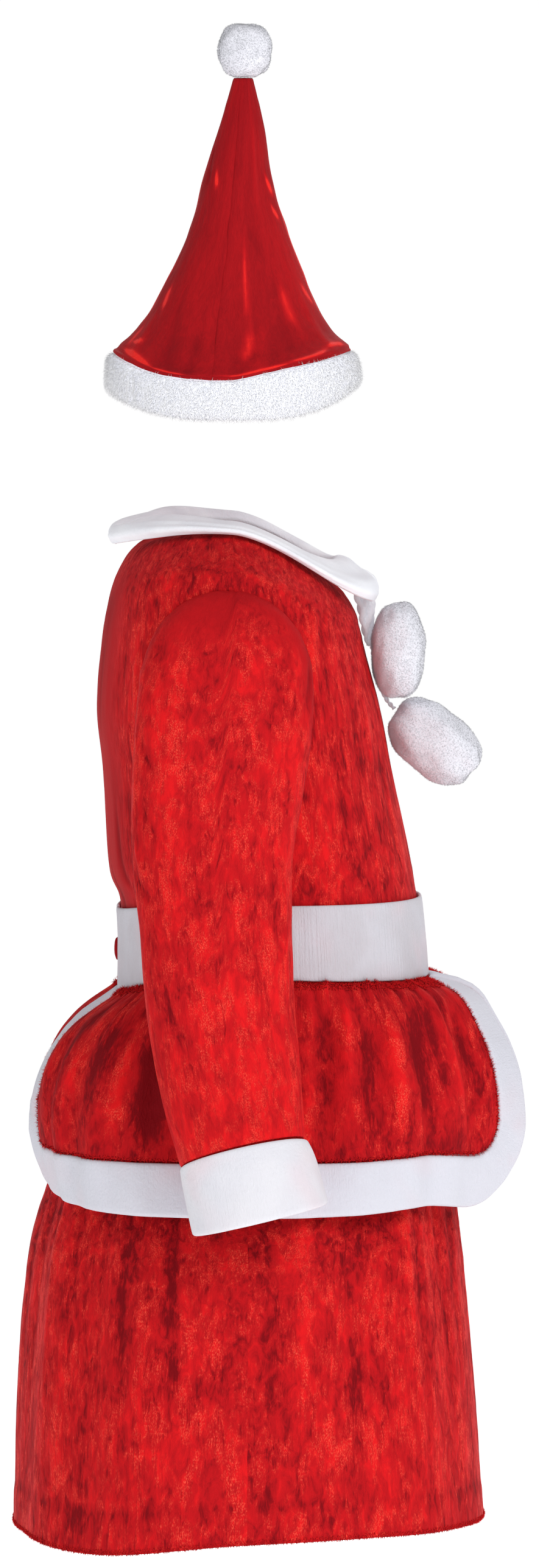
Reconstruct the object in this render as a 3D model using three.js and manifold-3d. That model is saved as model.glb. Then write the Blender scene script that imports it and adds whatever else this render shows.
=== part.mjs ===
// A baby's Christmas costume as it is worn: a red velour dress with a white fleece
// collar, belt, cuffs and peplum trim, two fluffy pompons on cords at the throat,
// and a pointed hat with a fur band and a pompon.
// Millimetres. The wearer faces +X, +Z is up, and the wearer's right is -Y.
// The origin is the middle of the neck opening, where the wearer's neck carries the dress.
import * as THREE from 'three';
import { mergeVertices } from 'three/addons/utils/BufferGeometryUtils.js';
import Module from 'manifold-3d';

const wasm = await Module();
wasm.setup();

// ---- Driving dimensions ----------------------------------------------------------------

const SEAM_GAP = 0.3;          // what neighbouring pieces keep between them
const VELOUR = 1.8;            // wall of the red velour, turned edges counted in
const BELT_THICKNESS = 2;      // one layer of fleece and its backing
const CUFF_THICKNESS = 3;      // fleece turned back on itself
const TRIM_THICKNESS = 3.6;    // fleece strip folded double along the peplum's edge
const TRIM_WIDTH = 25;         // how wide that strip shows
const TRIM_CORNER = 42;        // radius of its rounded corners
const TRIM_SEAM = 0.8;         // between the trim and the red cloth it is sewn to
const COLLAR_THICKNESS = 3;    // two layers of fleece
const FUR = 5;                 // reach of the hat band's pile
const HAT_VELOUR = 1.6;
const CORD_DIAMETER = 2.4;
const BACK_SLIT = 3.5;         // half the gap between the belt's two ends
const BELT_CLEARANCE = 0.8;    // the belt lies this far off the bodice

const colours = {
  velour: 0xc4141c, hatVelour: 0xb8161d, fleece: 0xeceaf0, fur: 0xf4f4f6, cord: 0xe9e7ec,
};

// Sections of the dress from the neck down to the waist seam. Each row is one line round
// the body: how far it reaches back, forward and sideways, and its height at each of these.
const body = {
  middle: -5,
  squareness: 2.3,
  rows: [
    { at: 'neck',     back: -41,   front: 43,   half: 45,    zBack: -1,   zSide: 4,     zFront: -22 },
    { at: 'yoke',     back: -53,   front: 50.5, half: 66,    zBack: -5,   zSide: 2.5,   zFront: -30 },
    { at: 'shoulder', back: -61.2, front: 55,   half: 89,    zBack: -16,  zSide: -7,    zFront: -38 },
    { at: 'tip',      back: -66.3, front: 57.5, half: 103.5, zBack: -31,  zSide: -17.5, zFront: -47 },
    { at: 'cap',      back: -69.8, front: 60.5, half: 109,   zBack: -52,  zSide: -44,   zFront: -60 },
    { at: 'chest',    back: -72.2, front: 67,   half: 108,   zBack: -84,  zSide: -82,   zFront: -84 },
    { at: 'ribs',     back: -69.2, front: 73,   half: 104.5, zBack: -115, zSide: -115,  zFront: -115 },
    { at: 'low',      back: -66.2, front: 80.5, half: 100,   zBack: -162, zSide: -150,  zFront: -151 },
    { at: 'nip',      back: -60.2, front: 85,   half: 97.2,  zBack: -182, zSide: -176,  zFront: -177 },
    { at: 'waist',    back: -59.4, front: 88.6, half: 96.2,  zBack: -224, zSide: -213,  zFront: -217 },
  ],
};

// Sections of the gathered skirt, from the waist seam to the hem.
const skirt = {
  middle: 2,
  squareness: 2.3,
  rows: [
    { at: 'waist',  back: -58.6,  front: 88,    half: 95.6,  zBack: -224.4, zSide: -213.4, zFront: -217.4 },
    { at: 'gather', back: -72,    front: 94,    half: 100,   zBack: -246,   zSide: -238,   zFront: -240 },
    { at: 'hip',    back: -86,    front: 99.5,  half: 104.5, zBack: -284,   zSide: -278,   zFront: -280 },
    { at: 'under',  back: -96.5,  front: 104,   half: 111,   zBack: -318,   zSide: -318,   zFront: -320 },
    { at: 'thigh',  back: -106,   front: 108,   half: 126,   zBack: -352,   zSide: -354,   zFront: -354 },
    { at: 'middle', back: -111.5, front: 113.5, half: 136,   zBack: -412,   zSide: -414,   zFront: -414 },
    { at: 'hem',    back: -113.5, front: 118.3, half: 141,   zBack: -485.5, zSide: -483,   zFront: -483.5 },
  ],
};

// Sections of the sleeve, from inside the armhole to the wrist, on the wearer's right.
// Out is the side away from the body and in the side next to it, as distances from the
// middle of the dress; rise is how much higher the front of the ring is than its middle.
const sleeve = [
  { at: 'inside',  yOut: 86,    zOut: -25,  yIn: 86,    zIn: -106,   back: -49,   front: 33,   rise: 0 },
  { at: 'armhole', yOut: 109,   zOut: -22,  yIn: 105,   zIn: -113,   back: -50,   front: 34,   rise: 0 },
  { at: 'cap',     yOut: 125,   zOut: -38,  yIn: 107.5, zIn: -124,   back: -52,   front: 34,   rise: 0 },
  { at: 'upper',   yOut: 137,   zOut: -68,  yIn: 107.5, zIn: -134,   back: -53.5, front: 32,   rise: 0 },
  { at: 'bicep',   yOut: 145,   zOut: -103, yIn: 107.5, zIn: -147,   back: -54.5, front: 28,   rise: 0 },
  { at: 'elbow',   yOut: 151,   zOut: -140, yIn: 108.5, zIn: -164,   back: -54,   front: 24,   rise: 0 },
  { at: 'fore',    yOut: 157,   zOut: -178, yIn: 112,   zIn: -192,   back: -50.5, front: 23.7, rise: 0 },
  { at: 'lower',   yOut: 162.5, zOut: -215, yIn: 118,   zIn: -226,   back: -47.5, front: 24.5, rise: 1 },
  { at: 'narrow',  yOut: 169,   zOut: -252, yIn: 126,   zIn: -262,   back: -41,   front: 28,   rise: 4 },
  { at: 'wrist',   yOut: 176,   zOut: -287, yIn: 134.5, zIn: -297.5, back: -30.5, front: 30,   rise: 7 },
];

// The cuff goes on from the sleeve's last section.
const cuff = [
  { at: 'top',    yOut: 177.5, zOut: -287.6, yIn: 133.4, zIn: -298.1, back: -31,   front: 31,   rise: 7 },
  { at: 'turn',   yOut: 180,   zOut: -301,   yIn: 134,   zIn: -307.5,   back: -29,   front: 36,   rise: 7.6 },
  { at: 'bottom', yOut: 184,   zOut: -324.3, yIn: 139,   zIn: -324.8,   back: -24.5, front: 41.4, rise: 8 },
];

// The peplum's right half, from the centre back round to the centre front. Each row is one
// line down the cloth: its angle on the waist seam, its foot at the hem, how far it puffs
// out in between, from 0 for straight to 1 for full, how far it springs out of the seam,
// and how low its fullness sags.
const peplumLines = [
  { at: 'back edge',  angle: -178, x: -100,  y: -10, z: -318, puff: 0.85, spring: 0, sag: 0.3 },
  { at: 'back',       angle: -160, x: -93,  y: -45,  z: -321, puff: 1, spring: 0, sag: 0 },
  { at: 'back side',  angle: -140, x: -84,  y: -82,  z: -324, puff: 0.9, spring: 0, sag: 0 },
  { at: 'behind arm', angle: -120, x: -62,  y: -112, z: -326, puff: 0.5, spring: 0, sag: 0 },
  { at: 'arm back',   angle: -99,  x: -22,  y: -123, z: -327, puff: 0.15, spring: 0, sag: 0 },
  { at: 'arm front',  angle: -78,  x: 24,   y: -124, z: -327, puff: 0.15, spring: 0, sag: 0 },
  { at: 'before arm', angle: -58,  x: 63,   y: -113, z: -326, puff: 0.4, spring: 0, sag: 0 },
  { at: 'front side', angle: -39,  x: 91,   y: -90,  z: -324, puff: 0.8, spring: 0.12, sag: 0 },
  { at: 'front',      angle: -20,  x: 112,  y: -58,  z: -327, puff: 1, spring: 0.24, sag: 0 },
  { at: 'front edge', angle: -3,   x: 133,  y: -30,  z: -327, puff: 0.85, spring: 0.27, sag: 0 },
];

// The peplum's side line from the waist seam down: how far it is out, as a share of its
// foot's distance, where it puffs full.
const peplumPuff = [
  { down: 0,    out: 0 },
  { down: 1 / 8, out: 0.6 },
  { down: 2 / 8, out: 0.95 },
  { down: 3 / 8, out: 1.13 },
  { down: 4 / 8, out: 1.21 },
  { down: 5 / 8, out: 1.22 },
  { down: 6 / 8, out: 1.18 },
  { down: 7 / 8, out: 1.1 },
  { down: 1,    out: 1 },
];

// The largest folds. Place runs along the piece from 0 to 1, width is a share of the same
// length, depth is into the cloth, and from and to say how far down each one runs.
const peplumFolds = [
  { place: 0.075, width: 0.026, depth: 1.5,   from: 0,    to: 0.8 },
  { place: 0.16,  width: 0.022, depth: 4,   from: 0,    to: 0.9 },
  { place: 0.235, width: 0.028, depth: 6,   from: 0,    to: 1 },
  { place: 0.325, width: 0.024, depth: 4,   from: 0,    to: 0.85 },
  { place: 0.6,   width: 0.03,  depth: 3,   from: 0,    to: 0.9 },
  { place: 0.69,  width: 0.026, depth: 4,   from: 0,    to: 0.8 },
  { place: 0.785, width: 0.03,  depth: 5,   from: 0,    to: 1 },
  { place: 0.87,  width: 0.024, depth: 4,   from: 0,    to: 0.75 },
];
const skirtFolds = [
  { place: 0.03,  width: 0.022, depth: 3.5, from: 0.25, to: 1 },
  { place: 0.1,   width: 0.026, depth: 5,   from: 0.3,  to: 1 },
  { place: 0.185, width: 0.022, depth: 3.5, from: 0.2,  to: 0.9 },
  { place: 0.26,  width: 0.03,  depth: 5,   from: 0.3,  to: 1 },
  { place: 0.36,  width: 0.024, depth: 4,   from: 0.3,  to: 1 },
  { place: 0.45,  width: 0.028, depth: 5,   from: 0.2,  to: 1 },
  { place: 0.55,  width: 0.024, depth: 4,   from: 0.3,  to: 1 },
  { place: 0.63,  width: 0.028, depth: 5,   from: 0.3,  to: 1 },
  { place: 0.74,  width: 0.024, depth: 4,   from: 0.3,  to: 1 },
  { place: 0.83,  width: 0.028, depth: 5,   from: 0.2,  to: 1 },
  { place: 0.92,  width: 0.022, depth: 3.5, from: 0.3,  to: 0.9 },
];

// The collar's cut across, from the neck seam up over its roll and down to its edge, as
// distances out from the neck seam and up from it.
const collarProfile = [
  { out: 0.6,  up: 0.5 },
  { out: -0.6, up: 6.5 },
  { out: 3,    up: 11.6 },
  { out: 9.5,  up: 12.6 },
  { out: 16,   up: 10.4 },
  { out: 22,   up: 9.4 },
  { out: 25.8, up: 5.2 },
  { out: 25.4, up: -0.6 },
];

// How the collar lies from the centre back round to the centre front: the shares of that
// height and reach that it has, and how much lower its outer edge hangs.
const collarLay = [
  { at: 'back',       high: 0.85, reach: 1,   droop: 2 },
  { at: 'back side',  high: 0.85, reach: 1,   droop: 1 },
  { at: 'shoulder',   high: 0.48, reach: 1,   droop: 0 },
  { at: 'front side', high: 0.6,  reach: 1,   droop: 10 },
  { at: 'front',      high: 1.2,  reach: 0.9, droop: 8.6 },
];

// Sections of the hat's cone from the tip down, and of its fur band. Bend says how its
// height changes from the side to the front: 1 is even, and more keeps low for longer.
const hat = {
  middle: -5,
  squareness: 2.05,
  rows: [
    { at: 'tip', back: -4.8, front: 4.4, half: 4.6, zBack: 225.6, zSide: 225.6, zFront: 225.6, bend: 1 },
    { at: 'neck',   back: -11.5, front: 10,   half: 10.5, zBack: 203, zSide: 203, zFront: 203, bend: 1 },
    { at: 'slim',   back: -19.5, front: 13.8, half: 16,   zBack: 177, zSide: 177, zFront: 177, bend: 1 },
    { at: 'upper',  back: -26.4, front: 20.8, half: 22,   zBack: 151, zSide: 150, zFront: 152, bend: 1 },
    { at: 'swell',  back: -38.2, front: 30.9, half: 31,   zBack: 126, zSide: 123, zFront: 126, bend: 1 },
    { at: 'flare',  back: -50.6, front: 41,   half: 41.5, zBack: 105, zSide: 99, zFront: 105, bend: 1 },
    { at: 'crown',  back: -60.5, front: 50.2, half: 51,   zBack: 94.5, zSide: 83.5, zFront: 95.5, bend: 1 },
    { at: 'bottom', back: -64.4, front: 53,   half: 54,   zBack: 91, zSide: 79.2, zFront: 92, bend: 1 },
  ],
};
const hatMiddleAtTip = 0;
const hatBand = {
  middle: -5,
  squareness: 2.05,
  rows: [
    { at: 'top',    back: -67.1, front: 55.7, half: 56.9, zBack: 91.2, zSide: 79.4, zFront: 92.2, bend: 1 },
    { at: 'upper',  back: -69.6, front: 58.5, half: 59.3, zBack: 86,   zSide: 74,   zFront: 87.5, bend: 1.4 },
    { at: 'lower',  back: -70,   front: 60,   half: 60,   zBack: 75,   zSide: 63,   zFront: 79,   bend: 2.4 },
    { at: 'bottom', back: -68.4, front: 58.8, half: 58.6, zBack: 70,   zSide: 58.6, zFront: 74,   bend: 3 },
  ],
};

// Pompons: middle, half sizes and lean about the side-to-side axis.
const POMPON_FULLNESS = 2.5;   // 2 is an ellipsoid, more fills out its shoulders
const pompons = {
  hat_pom:   { x: 0.6,  y: 0,   z: 239,    long: 13.8, wide: 13.8, high: 13.6, lean: 0 },
  pom_upper: { x: 75.9, y: -8,  z: -56,    long: 13.8, wide: 21,   high: 24.2, lean: 0 },
  pom_lower: { x: 93.8, y: 6,   z: -101.8, long: 25,   wide: 20,   high: 17,   lean: 0.7 },
};
const tieKnot = { x: 58.8, y: 0, z: -34.6, long: 4.2, wide: 9, high: 9, lean: -0.3 };
const backTab = { x: -62.3, y: 0, z: -203.5, long: 1.6, wide: 2.9, high: 5.8, lean: 0 };

// The free cord hangs from the knot to the lower pompon, down past the upper one.
const pomCord = [
  [61.1, 5.4, -42.2], [63.2, 16.8, -55], [65.8, 19.4, -70], [70.6, 14.6, -81.6], [74.3, 12.6, -85.9],
];

// ---- Tools for cloth -------------------------------------------------------------------

const turn = THREE.MathUtils.degToRad;
const NUDGE = 1e-3;
const FRONT_BEND = 1.3;        // how a ring's height changes from its side to its front

// One column of a table, read smoothly between its rows; place runs from 0 to 1.
function read(rows, column, place) {
  const last = rows.length - 1;
  const along = THREE.MathUtils.clamp(place, 0, 1) * last;
  const i = Math.min(Math.floor(along), last - 1);
  const t = along - i;
  const value = (row) => rows[THREE.MathUtils.clamp(row, 0, last)][column];
  const here = value(i);
  const next = value(i + 1);
  const before = i > 0 ? value(i - 1) : 2 * here - next;
  const after = i + 2 <= last ? value(i + 2) : 2 * next - here;
  const startSlope = (next - before) / 2;
  const endSlope = (after - here) / 2;
  const rest = 1 - t;
  return here * (1 + 2 * t) * rest * rest + startSlope * t * rest * rest
    + next * (3 - 2 * t) * t * t - endSlope * t * t * rest;
}

const placeOf = (rows, name) => rows.findIndex((row) => row.at === name) / (rows.length - 1);

// How deep the folds are at a place along the cloth and a share of the way down it.
function foldDepth(folds, place, down) {
  let depth = 0;
  for (const fold of folds) {
    const off = (place - fold.place) / fold.width;
    const fadeIn = THREE.MathUtils.smoothstep(down, fold.from, fold.from + 0.3);
    const fadeOut = 1 - 0.7 * THREE.MathUtils.smoothstep(down, fold.to - 0.35, fold.to + 0.15);
    depth += fold.depth * Math.exp(-off * off) * fadeIn * fadeOut;
  }
  return depth;
}

// A point on a lofted form: angle 0 is the front, +90 degrees the wearer's left.
function onRings(form, place, angle) {
  const forward = Math.cos(turn(angle));
  const sideways = Math.sin(turn(angle));
  const side = read(form.rows, 'zSide', place);
  const power = 2 / form.squareness;
  const across = read(form.rows, 'half', place) * Math.sign(sideways) * Math.abs(sideways) ** power;
  const middle = form.middleAt ? form.middleAt(place) : form.middle;
  if (forward >= 0) {
    const x = middle + (read(form.rows, 'front', place) - middle) * forward ** power;
    const bend = form.rows[0].bend ? read(form.rows, 'bend', place) : FRONT_BEND;
    const z = side + (read(form.rows, 'zFront', place) - side) * forward ** bend;
    return new THREE.Vector3(x, across, z);
  }
  const x = middle - (middle - read(form.rows, 'back', place)) * (-forward) ** power;
  const z = side + (read(form.rows, 'zBack', place) - side) * (-forward) ** 3;
  return new THREE.Vector3(x, across, z);
}

// A surface is surface(u, v), with u to the right seen from outside and v downwards, both
// from 0 to 1. One that is closed comes round to its start, as on a tube.
const closed = (surface) => Object.assign(surface, { closed: true });

// The way out of a surface.
function wayOut(surface, u, v) {
  const uLow = surface.closed ? u - NUDGE : Math.max(u - NUDGE, 0);
  const uHigh = surface.closed ? u + NUDGE : Math.min(u + NUDGE, 1);
  const vLow = Math.max(v - NUDGE, 0);
  const vHigh = Math.min(v + NUDGE, 1);
  const along = surface(uHigh, v).sub(surface(uLow, v));
  const down = surface(u, vHigh).sub(surface(u, vLow));
  return down.cross(along).normalize();
}

// A surface moved outwards by lift.
function lifted(surface, lift) {
  const moved = (u, v) => surface(u, v).addScaledVector(wayOut(surface, u, v), lift);
  return surface.closed ? closed(moved) : moved;
}

// A grid of points and the triangles over them, facing out, or facing in if turned over.
function addGrid(points, faces, surface, uSteps, vSteps, turnedOver) {
  const first = points.length;
  const columns = surface.closed ? uSteps : uSteps + 1;
  for (let j = 0; j <= vSteps; j += 1) {
    for (let i = 0; i < columns; i += 1) {
      points.push(surface(i / uSteps, j / vSteps));
    }
  }
  const at = (i, j) => first + j * columns + (i % columns);
  for (let j = 0; j < vSteps; j += 1) {
    for (let i = 0; i < uSteps; i += 1) {
      const quad = [at(i, j), at(i, j + 1), at(i + 1, j + 1), at(i + 1, j)];
      if (turnedOver) {
        quad.reverse();
      }
      faces.push([quad[0], quad[1], quad[2]], [quad[0], quad[2], quad[3]]);
    }
  }
  return at;
}

function geometryFrom(points, faces) {
  const geometry = new THREE.BufferGeometry();
  geometry.setFromPoints(points);
  geometry.setIndex(faces.flat());
  return geometry;
}

// A wall of cloth: the surface is its outside and thickness goes inwards.
function wall(surface, { uSteps, vSteps, thickness }) {
  const points = [];
  const faces = [];
  const outer = addGrid(points, faces, surface, uSteps, vSteps, false);
  const inner = addGrid(points, faces, lifted(surface, -thickness), uSteps, vSteps, true);
  const strip = (a, b, c, d) => faces.push([a, b, c], [a, c, d]);
  for (let i = 0; i < uSteps; i += 1) {
    strip(outer(i, 0), outer(i + 1, 0), inner(i + 1, 0), inner(i, 0));
    strip(outer(i, vSteps), inner(i, vSteps), inner(i + 1, vSteps), outer(i + 1, vSteps));
  }
  if (!surface.closed) {
    for (let j = 0; j < vSteps; j += 1) {
      strip(outer(0, j), inner(0, j), inner(0, j + 1), outer(0, j + 1));
      strip(outer(uSteps, j), outer(uSteps, j + 1), inner(uSteps, j + 1), inner(uSteps, j));
    }
  }
  return geometryFrom(points, faces);
}

// A tube filled from end to end, used only to cut with.
function filled(surface, { uSteps, vSteps }) {
  const points = [];
  const faces = [];
  const at = addGrid(points, faces, surface, uSteps, vSteps, false);
  for (const j of [0, vSteps]) {
    const middle = new THREE.Vector3();
    for (let i = 0; i < uSteps; i += 1) {
      middle.add(points[at(i, j)]);
    }
    const centre = points.push(middle.divideScalar(uSteps)) - 1;
    for (let i = 0; i < uSteps; i += 1) {
      const edge = [at(i, j), at(i + 1, j)];
      faces.push(j === 0 ? [centre, edge[0], edge[1]] : [centre, edge[1], edge[0]]);
    }
  }
  return geometryFrom(points, faces);
}

// The same piece on the wearer's other side.
function mirrored(geometry) {
  const copy = geometry.clone();
  copy.scale(1, -1, 1);
  const index = Array.from(copy.index.array);
  for (let i = 0; i < index.length; i += 3) {
    [index[i], index[i + 1]] = [index[i + 1], index[i]];
  }
  copy.setIndex(index);
  return copy;
}

function toSolid(geometry) {
  const mesh = new wasm.Mesh({
    numProp: 3,
    vertProperties: new Float32Array(geometry.attributes.position.array),
    triVerts: new Uint32Array(geometry.index.array),
  });
  mesh.merge();
  return new wasm.Manifold(mesh);
}

function fromSolid(solid) {
  const mesh = solid.getMesh();
  const geometry = new THREE.BufferGeometry();
  geometry.setAttribute('position', new THREE.BufferAttribute(mesh.vertProperties, 3));
  geometry.setIndex(Array.from(mesh.triVerts));
  return geometry;
}

const cut = (geometry, ...cutters) => fromSolid(
  cutters.reduce((solid, cutter) => solid.subtract(toSolid(cutter)), toSolid(geometry)),
);

// ---- The dress -------------------------------------------------------------------------

// A panel of a lofted form between two angles, with half a seam's gap left at each side.
function panel(form, { from, to, top = 0, bottom = 1, lift = 0, folds = [] }) {
  const surface = (u, v) => {
    const place = top + (bottom - top) * v;
    const inset = THREE.MathUtils.radToDeg(SEAM_GAP / 2 / read(form.rows, 'half', place));
    const angle = from + inset + (to - from - 2 * inset) * u;
    const point = onRings(form, place, angle);
    const fold = foldDepth(folds, (angle / 360 + 1) % 1, v);
    const middle = new THREE.Vector3(form.middle, 0, point.z);
    return point.addScaledVector(middle.sub(point).normalize(), fold);
  };
  return lift ? lifted(surface, lift) : surface;
}

function sleevePoint(rows, place, angle) {
  const value = (column) => read(rows, column, place);
  const outside = new THREE.Vector3(0, -value('yOut'), value('zOut'));
  const inside = new THREE.Vector3(0, -value('yIn'), value('zIn'));
  const middle = outside.clone().add(inside).multiplyScalar(0.5);
  middle.x = (value('back') + value('front')) / 2;
  const toOutside = outside.sub(middle).setX(0);
  const toFront = new THREE.Vector3((value('front') - value('back')) / 2, 0, value('rise'));
  return middle
    .addScaledVector(toOutside, Math.cos(turn(angle)))
    .addScaledVector(toFront, Math.sin(turn(angle)));
}

const sleeveSurface = closed((u, v) => sleevePoint(sleeve, v, 360 * u));
const cuffSurface = closed((u, v) => sleevePoint(cuff, v, 360 * u));

// The armhole is the bodice cut away round the sleeve, and the sleeve ends inside it.
const armholeDepth = placeOf(sleeve, 'elbow');
const bodyRows = body.rows.length - 1;
const sleeveRows = sleeve.length - 1;
const ROUND_SLEEVE = 18;
const armholeRight = filled(
  lifted(closed((u, v) => sleeveSurface(u, v * armholeDepth)), SEAM_GAP),
  { uSteps: ROUND_SLEEVE, vSteps: Math.round(armholeDepth * sleeveRows) },
);
const armholes = [armholeRight, mirrored(armholeRight)];
const torsoInside = filled(
  lifted(closed((u, v) => onRings(body, v, 360 * u)), -VELOUR),
  { uSteps: 36, vSteps: bodyRows },
);

function bodicePanel(from, to, uSteps) {
  const surface = panel(body, { from, to });
  return cut(wall(surface, { uSteps, vSteps: bodyRows, thickness: VELOUR }), ...armholes);
}

const sleeveRight = cut(
  wall(sleeveSurface, { uSteps: ROUND_SLEEVE, vSteps: sleeveRows, thickness: VELOUR }),
  torsoInside,
);
const cuffSteps = { uSteps: ROUND_SLEEVE, vSteps: cuff.length - 1 };
const cuffRight = wall(cuffSurface, { ...cuffSteps, thickness: CUFF_THICKNESS });

// The belt lies on the bodice from the nip down to the waist seam, open at the centre back.
const beltSlit = THREE.MathUtils.radToDeg(BACK_SLIT / (body.middle - body.rows.at(-1).back));
const beltSurface = panel(body, {
  from: -180 + beltSlit,
  to: 180 - beltSlit,
  top: placeOf(body.rows, 'nip'),
  bottom: 0.998,
  lift: BELT_CLEARANCE + BELT_THICKNESS,
});

// ---- The collar ------------------------------------------------------------------------

const COLLAR_BACK = -177.5;    // angles of its two ends round the neck
const COLLAR_FRONT = -3;
const COLLAR_ACROSS = 42;      // from the neck seam over the roll to its edge
const COLLAR_CORNER = 15;      // radius of its rounded ends
const COLLAR_RADIUS = 66;      // its edge runs about this far from the middle of the neck

// The right half, whose two ends round away towards the outer edge.
function collarSurface(u, v) {
  const intoCorner = Math.max(v * COLLAR_ACROSS - (COLLAR_ACROSS - COLLAR_CORNER), 0);
  const rounding = COLLAR_CORNER - Math.sqrt(COLLAR_CORNER ** 2 - intoCorner ** 2);
  const cutOff = THREE.MathUtils.radToDeg(rounding / COLLAR_RADIUS);
  const angle = THREE.MathUtils.lerp(COLLAR_BACK + cutOff, COLLAR_FRONT - cutOff, u);
  const seam = onRings(body, 0, angle);
  const outward = new THREE.Vector3(Math.cos(turn(angle)), Math.sin(turn(angle)), 0);
  const lay = (column) => read(collarLay, column, 1 + angle / 180);
  const out = read(collarProfile, 'out', v);
  const up = read(collarProfile, 'up', v) * lay('high');
  const droop = lay('droop') * Math.max(0, out) / collarProfile.at(-1).out;
  seam.addScaledVector(outward, out * lay('reach'));
  return seam.add(new THREE.Vector3(0, 0, up - droop));
}

const collarSteps = { uSteps: 16, vSteps: collarProfile.length - 1 };
const collarRight = wall(collarSurface, { ...collarSteps, thickness: COLLAR_THICKNESS });

// ---- The peplum ------------------------------------------------------------------------

const PEPLUM_LENGTH = 342;     // along the hem of one half
const PEPLUM_DROP = 108;       // from the waist seam down to the hem
const PEPLUM_OFF_WAIST = 3.2;  // it starts outside the skirt and the bodice
const SPRING_AT = 0.05;        // how far down it springs out most

function peplumPoint(place, down) {
  const value = (column) => read(peplumLines, column, place);
  const waistAt = closed((u, v) => onRings(body, 0.9 + 0.1 * v, 360 * u));
  const round = (value('angle') + 360) / 360;
  const waist = waistAt(round, 1).addScaledVector(wayOut(waistAt, round, 1), PEPLUM_OFF_WAIST);
  const foot = new THREE.Vector3(value('x'), value('y'), value('z'));
  const sunk = down ** (1 + value('sag'));
  const full = read(peplumPuff, 'out', sunk);
  const early = down / SPRING_AT;
  const spring = value('spring') * early * Math.exp(1 - early);
  const out = THREE.MathUtils.lerp(sunk ** 0.8, full, value('puff')) + spring;
  const point = new THREE.Vector3(
    THREE.MathUtils.lerp(waist.x, foot.x, out),
    THREE.MathUtils.lerp(waist.y, foot.y, out),
    THREE.MathUtils.lerp(waist.z - SEAM_GAP, foot.z, down),
  );
  const inward = new THREE.Vector3(-point.x, -point.y, 0).normalize();
  return point.addScaledVector(inward, foldDepth(peplumFolds, place, down));
}

// The red cloth stops where the trim begins.
const edgeShare = (TRIM_WIDTH + TRIM_SEAM) / PEPLUM_LENGTH;
const hemShare = 1 - (TRIM_WIDTH + TRIM_SEAM) / PEPLUM_DROP;
const INNER_CORNER = TRIM_CORNER - TRIM_WIDTH - TRIM_SEAM;

// How far down, as shares, the cloth's rows of facets are.
const peplumRows = [0, 0.07, 0.2, 0.4, 0.6, 0.8, 1];

function peplumRow(v) {
  const last = peplumRows.length - 1;
  const i = Math.min(Math.floor(v * last), last - 1);
  return THREE.MathUtils.lerp(peplumRows[i], peplumRows[i + 1], v * last - i);
}

function peplumSurface(u, v) {
  const place = edgeShare + (1 - 2 * edgeShare) * u;
  const offCorner = (Math.min(place, 1 - place) - edgeShare) * PEPLUM_LENGTH;
  const short = Math.max(INNER_CORNER - offCorner, 0);
  const rounding = INNER_CORNER - Math.sqrt(INNER_CORNER ** 2 - short ** 2);
  return peplumPoint(place, peplumRow(v) * (hemShare - rounding / PEPLUM_DROP));
}

// The trim runs down the back edge, along the hem and up the front edge, with round corners.
const straightDown = PEPLUM_DROP - TRIM_CORNER;
const straightAlong = PEPLUM_LENGTH - 2 * TRIM_CORNER;
const cornerLength = TRIM_CORNER * Math.PI / 2;
const trimLength = 2 * straightDown + straightAlong + 2 * cornerLength;

function trimEdge(travelled) {
  if (travelled > trimLength / 2) {
    const other = trimEdge(trimLength - travelled);
    return { along: PEPLUM_LENGTH - other.along, down: other.down, x: -other.x, y: other.y };
  }
  if (travelled < straightDown) {
    return { along: 0, down: travelled, x: 1, y: 0 };
  }
  const bend = Math.min((travelled - straightDown) / TRIM_CORNER, Math.PI / 2);
  const past = Math.max(travelled - straightDown - cornerLength, 0);
  return {
    along: TRIM_CORNER * (1 - Math.cos(bend)) + past,
    down: straightDown + TRIM_CORNER * Math.sin(bend),
    x: Math.cos(bend),
    y: -Math.sin(bend),
  };
}

// The strip's cross lines meet the lines of the red cloth's grid, so that the two pieces'
// flat facets follow each other along the seam.
const PEPLUM_COLUMNS = 24;
const CORNER_STEPS = 3;

function trimStations() {
  const side = peplumRows.map((share) => straightDown * share);
  for (let k = 1; k <= CORNER_STEPS; k += 1) {
    side.push(straightDown + cornerLength * k / CORNER_STEPS);
  }
  const hem = [];
  for (let i = 0; i <= PEPLUM_COLUMNS; i += 1) {
    const along = PEPLUM_LENGTH * (edgeShare + (1 - 2 * edgeShare) * i / PEPLUM_COLUMNS);
    if (along > TRIM_CORNER + 1 && along < PEPLUM_LENGTH - TRIM_CORNER - 1) {
      hem.push(straightDown + cornerLength + along - TRIM_CORNER);
    }
  }
  return [...side, ...hem, ...side.map((travelled) => trimLength - travelled).reverse()];
}

const stations = trimStations();

// u runs along the strip from the waist at the back to the waist at the front, and v across
// it from the red cloth out to the edge.
function trimSurface(u, v) {
  const i = Math.min(Math.floor(u * (stations.length - 1)), stations.length - 2);
  const travelled = THREE.MathUtils.lerp(stations[i], stations[i + 1], u * (stations.length - 1) - i);
  const edge = trimEdge(travelled);
  const inFrom = TRIM_WIDTH * (1 - v);
  const place = (edge.along + edge.x * inFrom) / PEPLUM_LENGTH;
  const down = (edge.down + edge.y * inFrom) / PEPLUM_DROP;
  return peplumPoint(place, down);
}

const peplumSteps = { uSteps: PEPLUM_COLUMNS, vSteps: peplumRows.length - 1 };
const peplumRight = wall(peplumSurface, { ...peplumSteps, thickness: VELOUR });
const trimProud = lifted(trimSurface, (TRIM_THICKNESS - VELOUR) / 2);
const trimRight = wall(trimProud, { uSteps: stations.length - 1, vSteps: 2, thickness: TRIM_THICKNESS });

// ---- Skirt and hat ---------------------------------------------------------------------

// The skirt's hem hangs lower behind each arm: by how much, and where and how wide it does,
// in degrees round from the front.
const HEM_DIP = 9;
const HEM_DIP_ANGLE = 128;
const HEM_DIP_WIDTH = 34;

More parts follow.
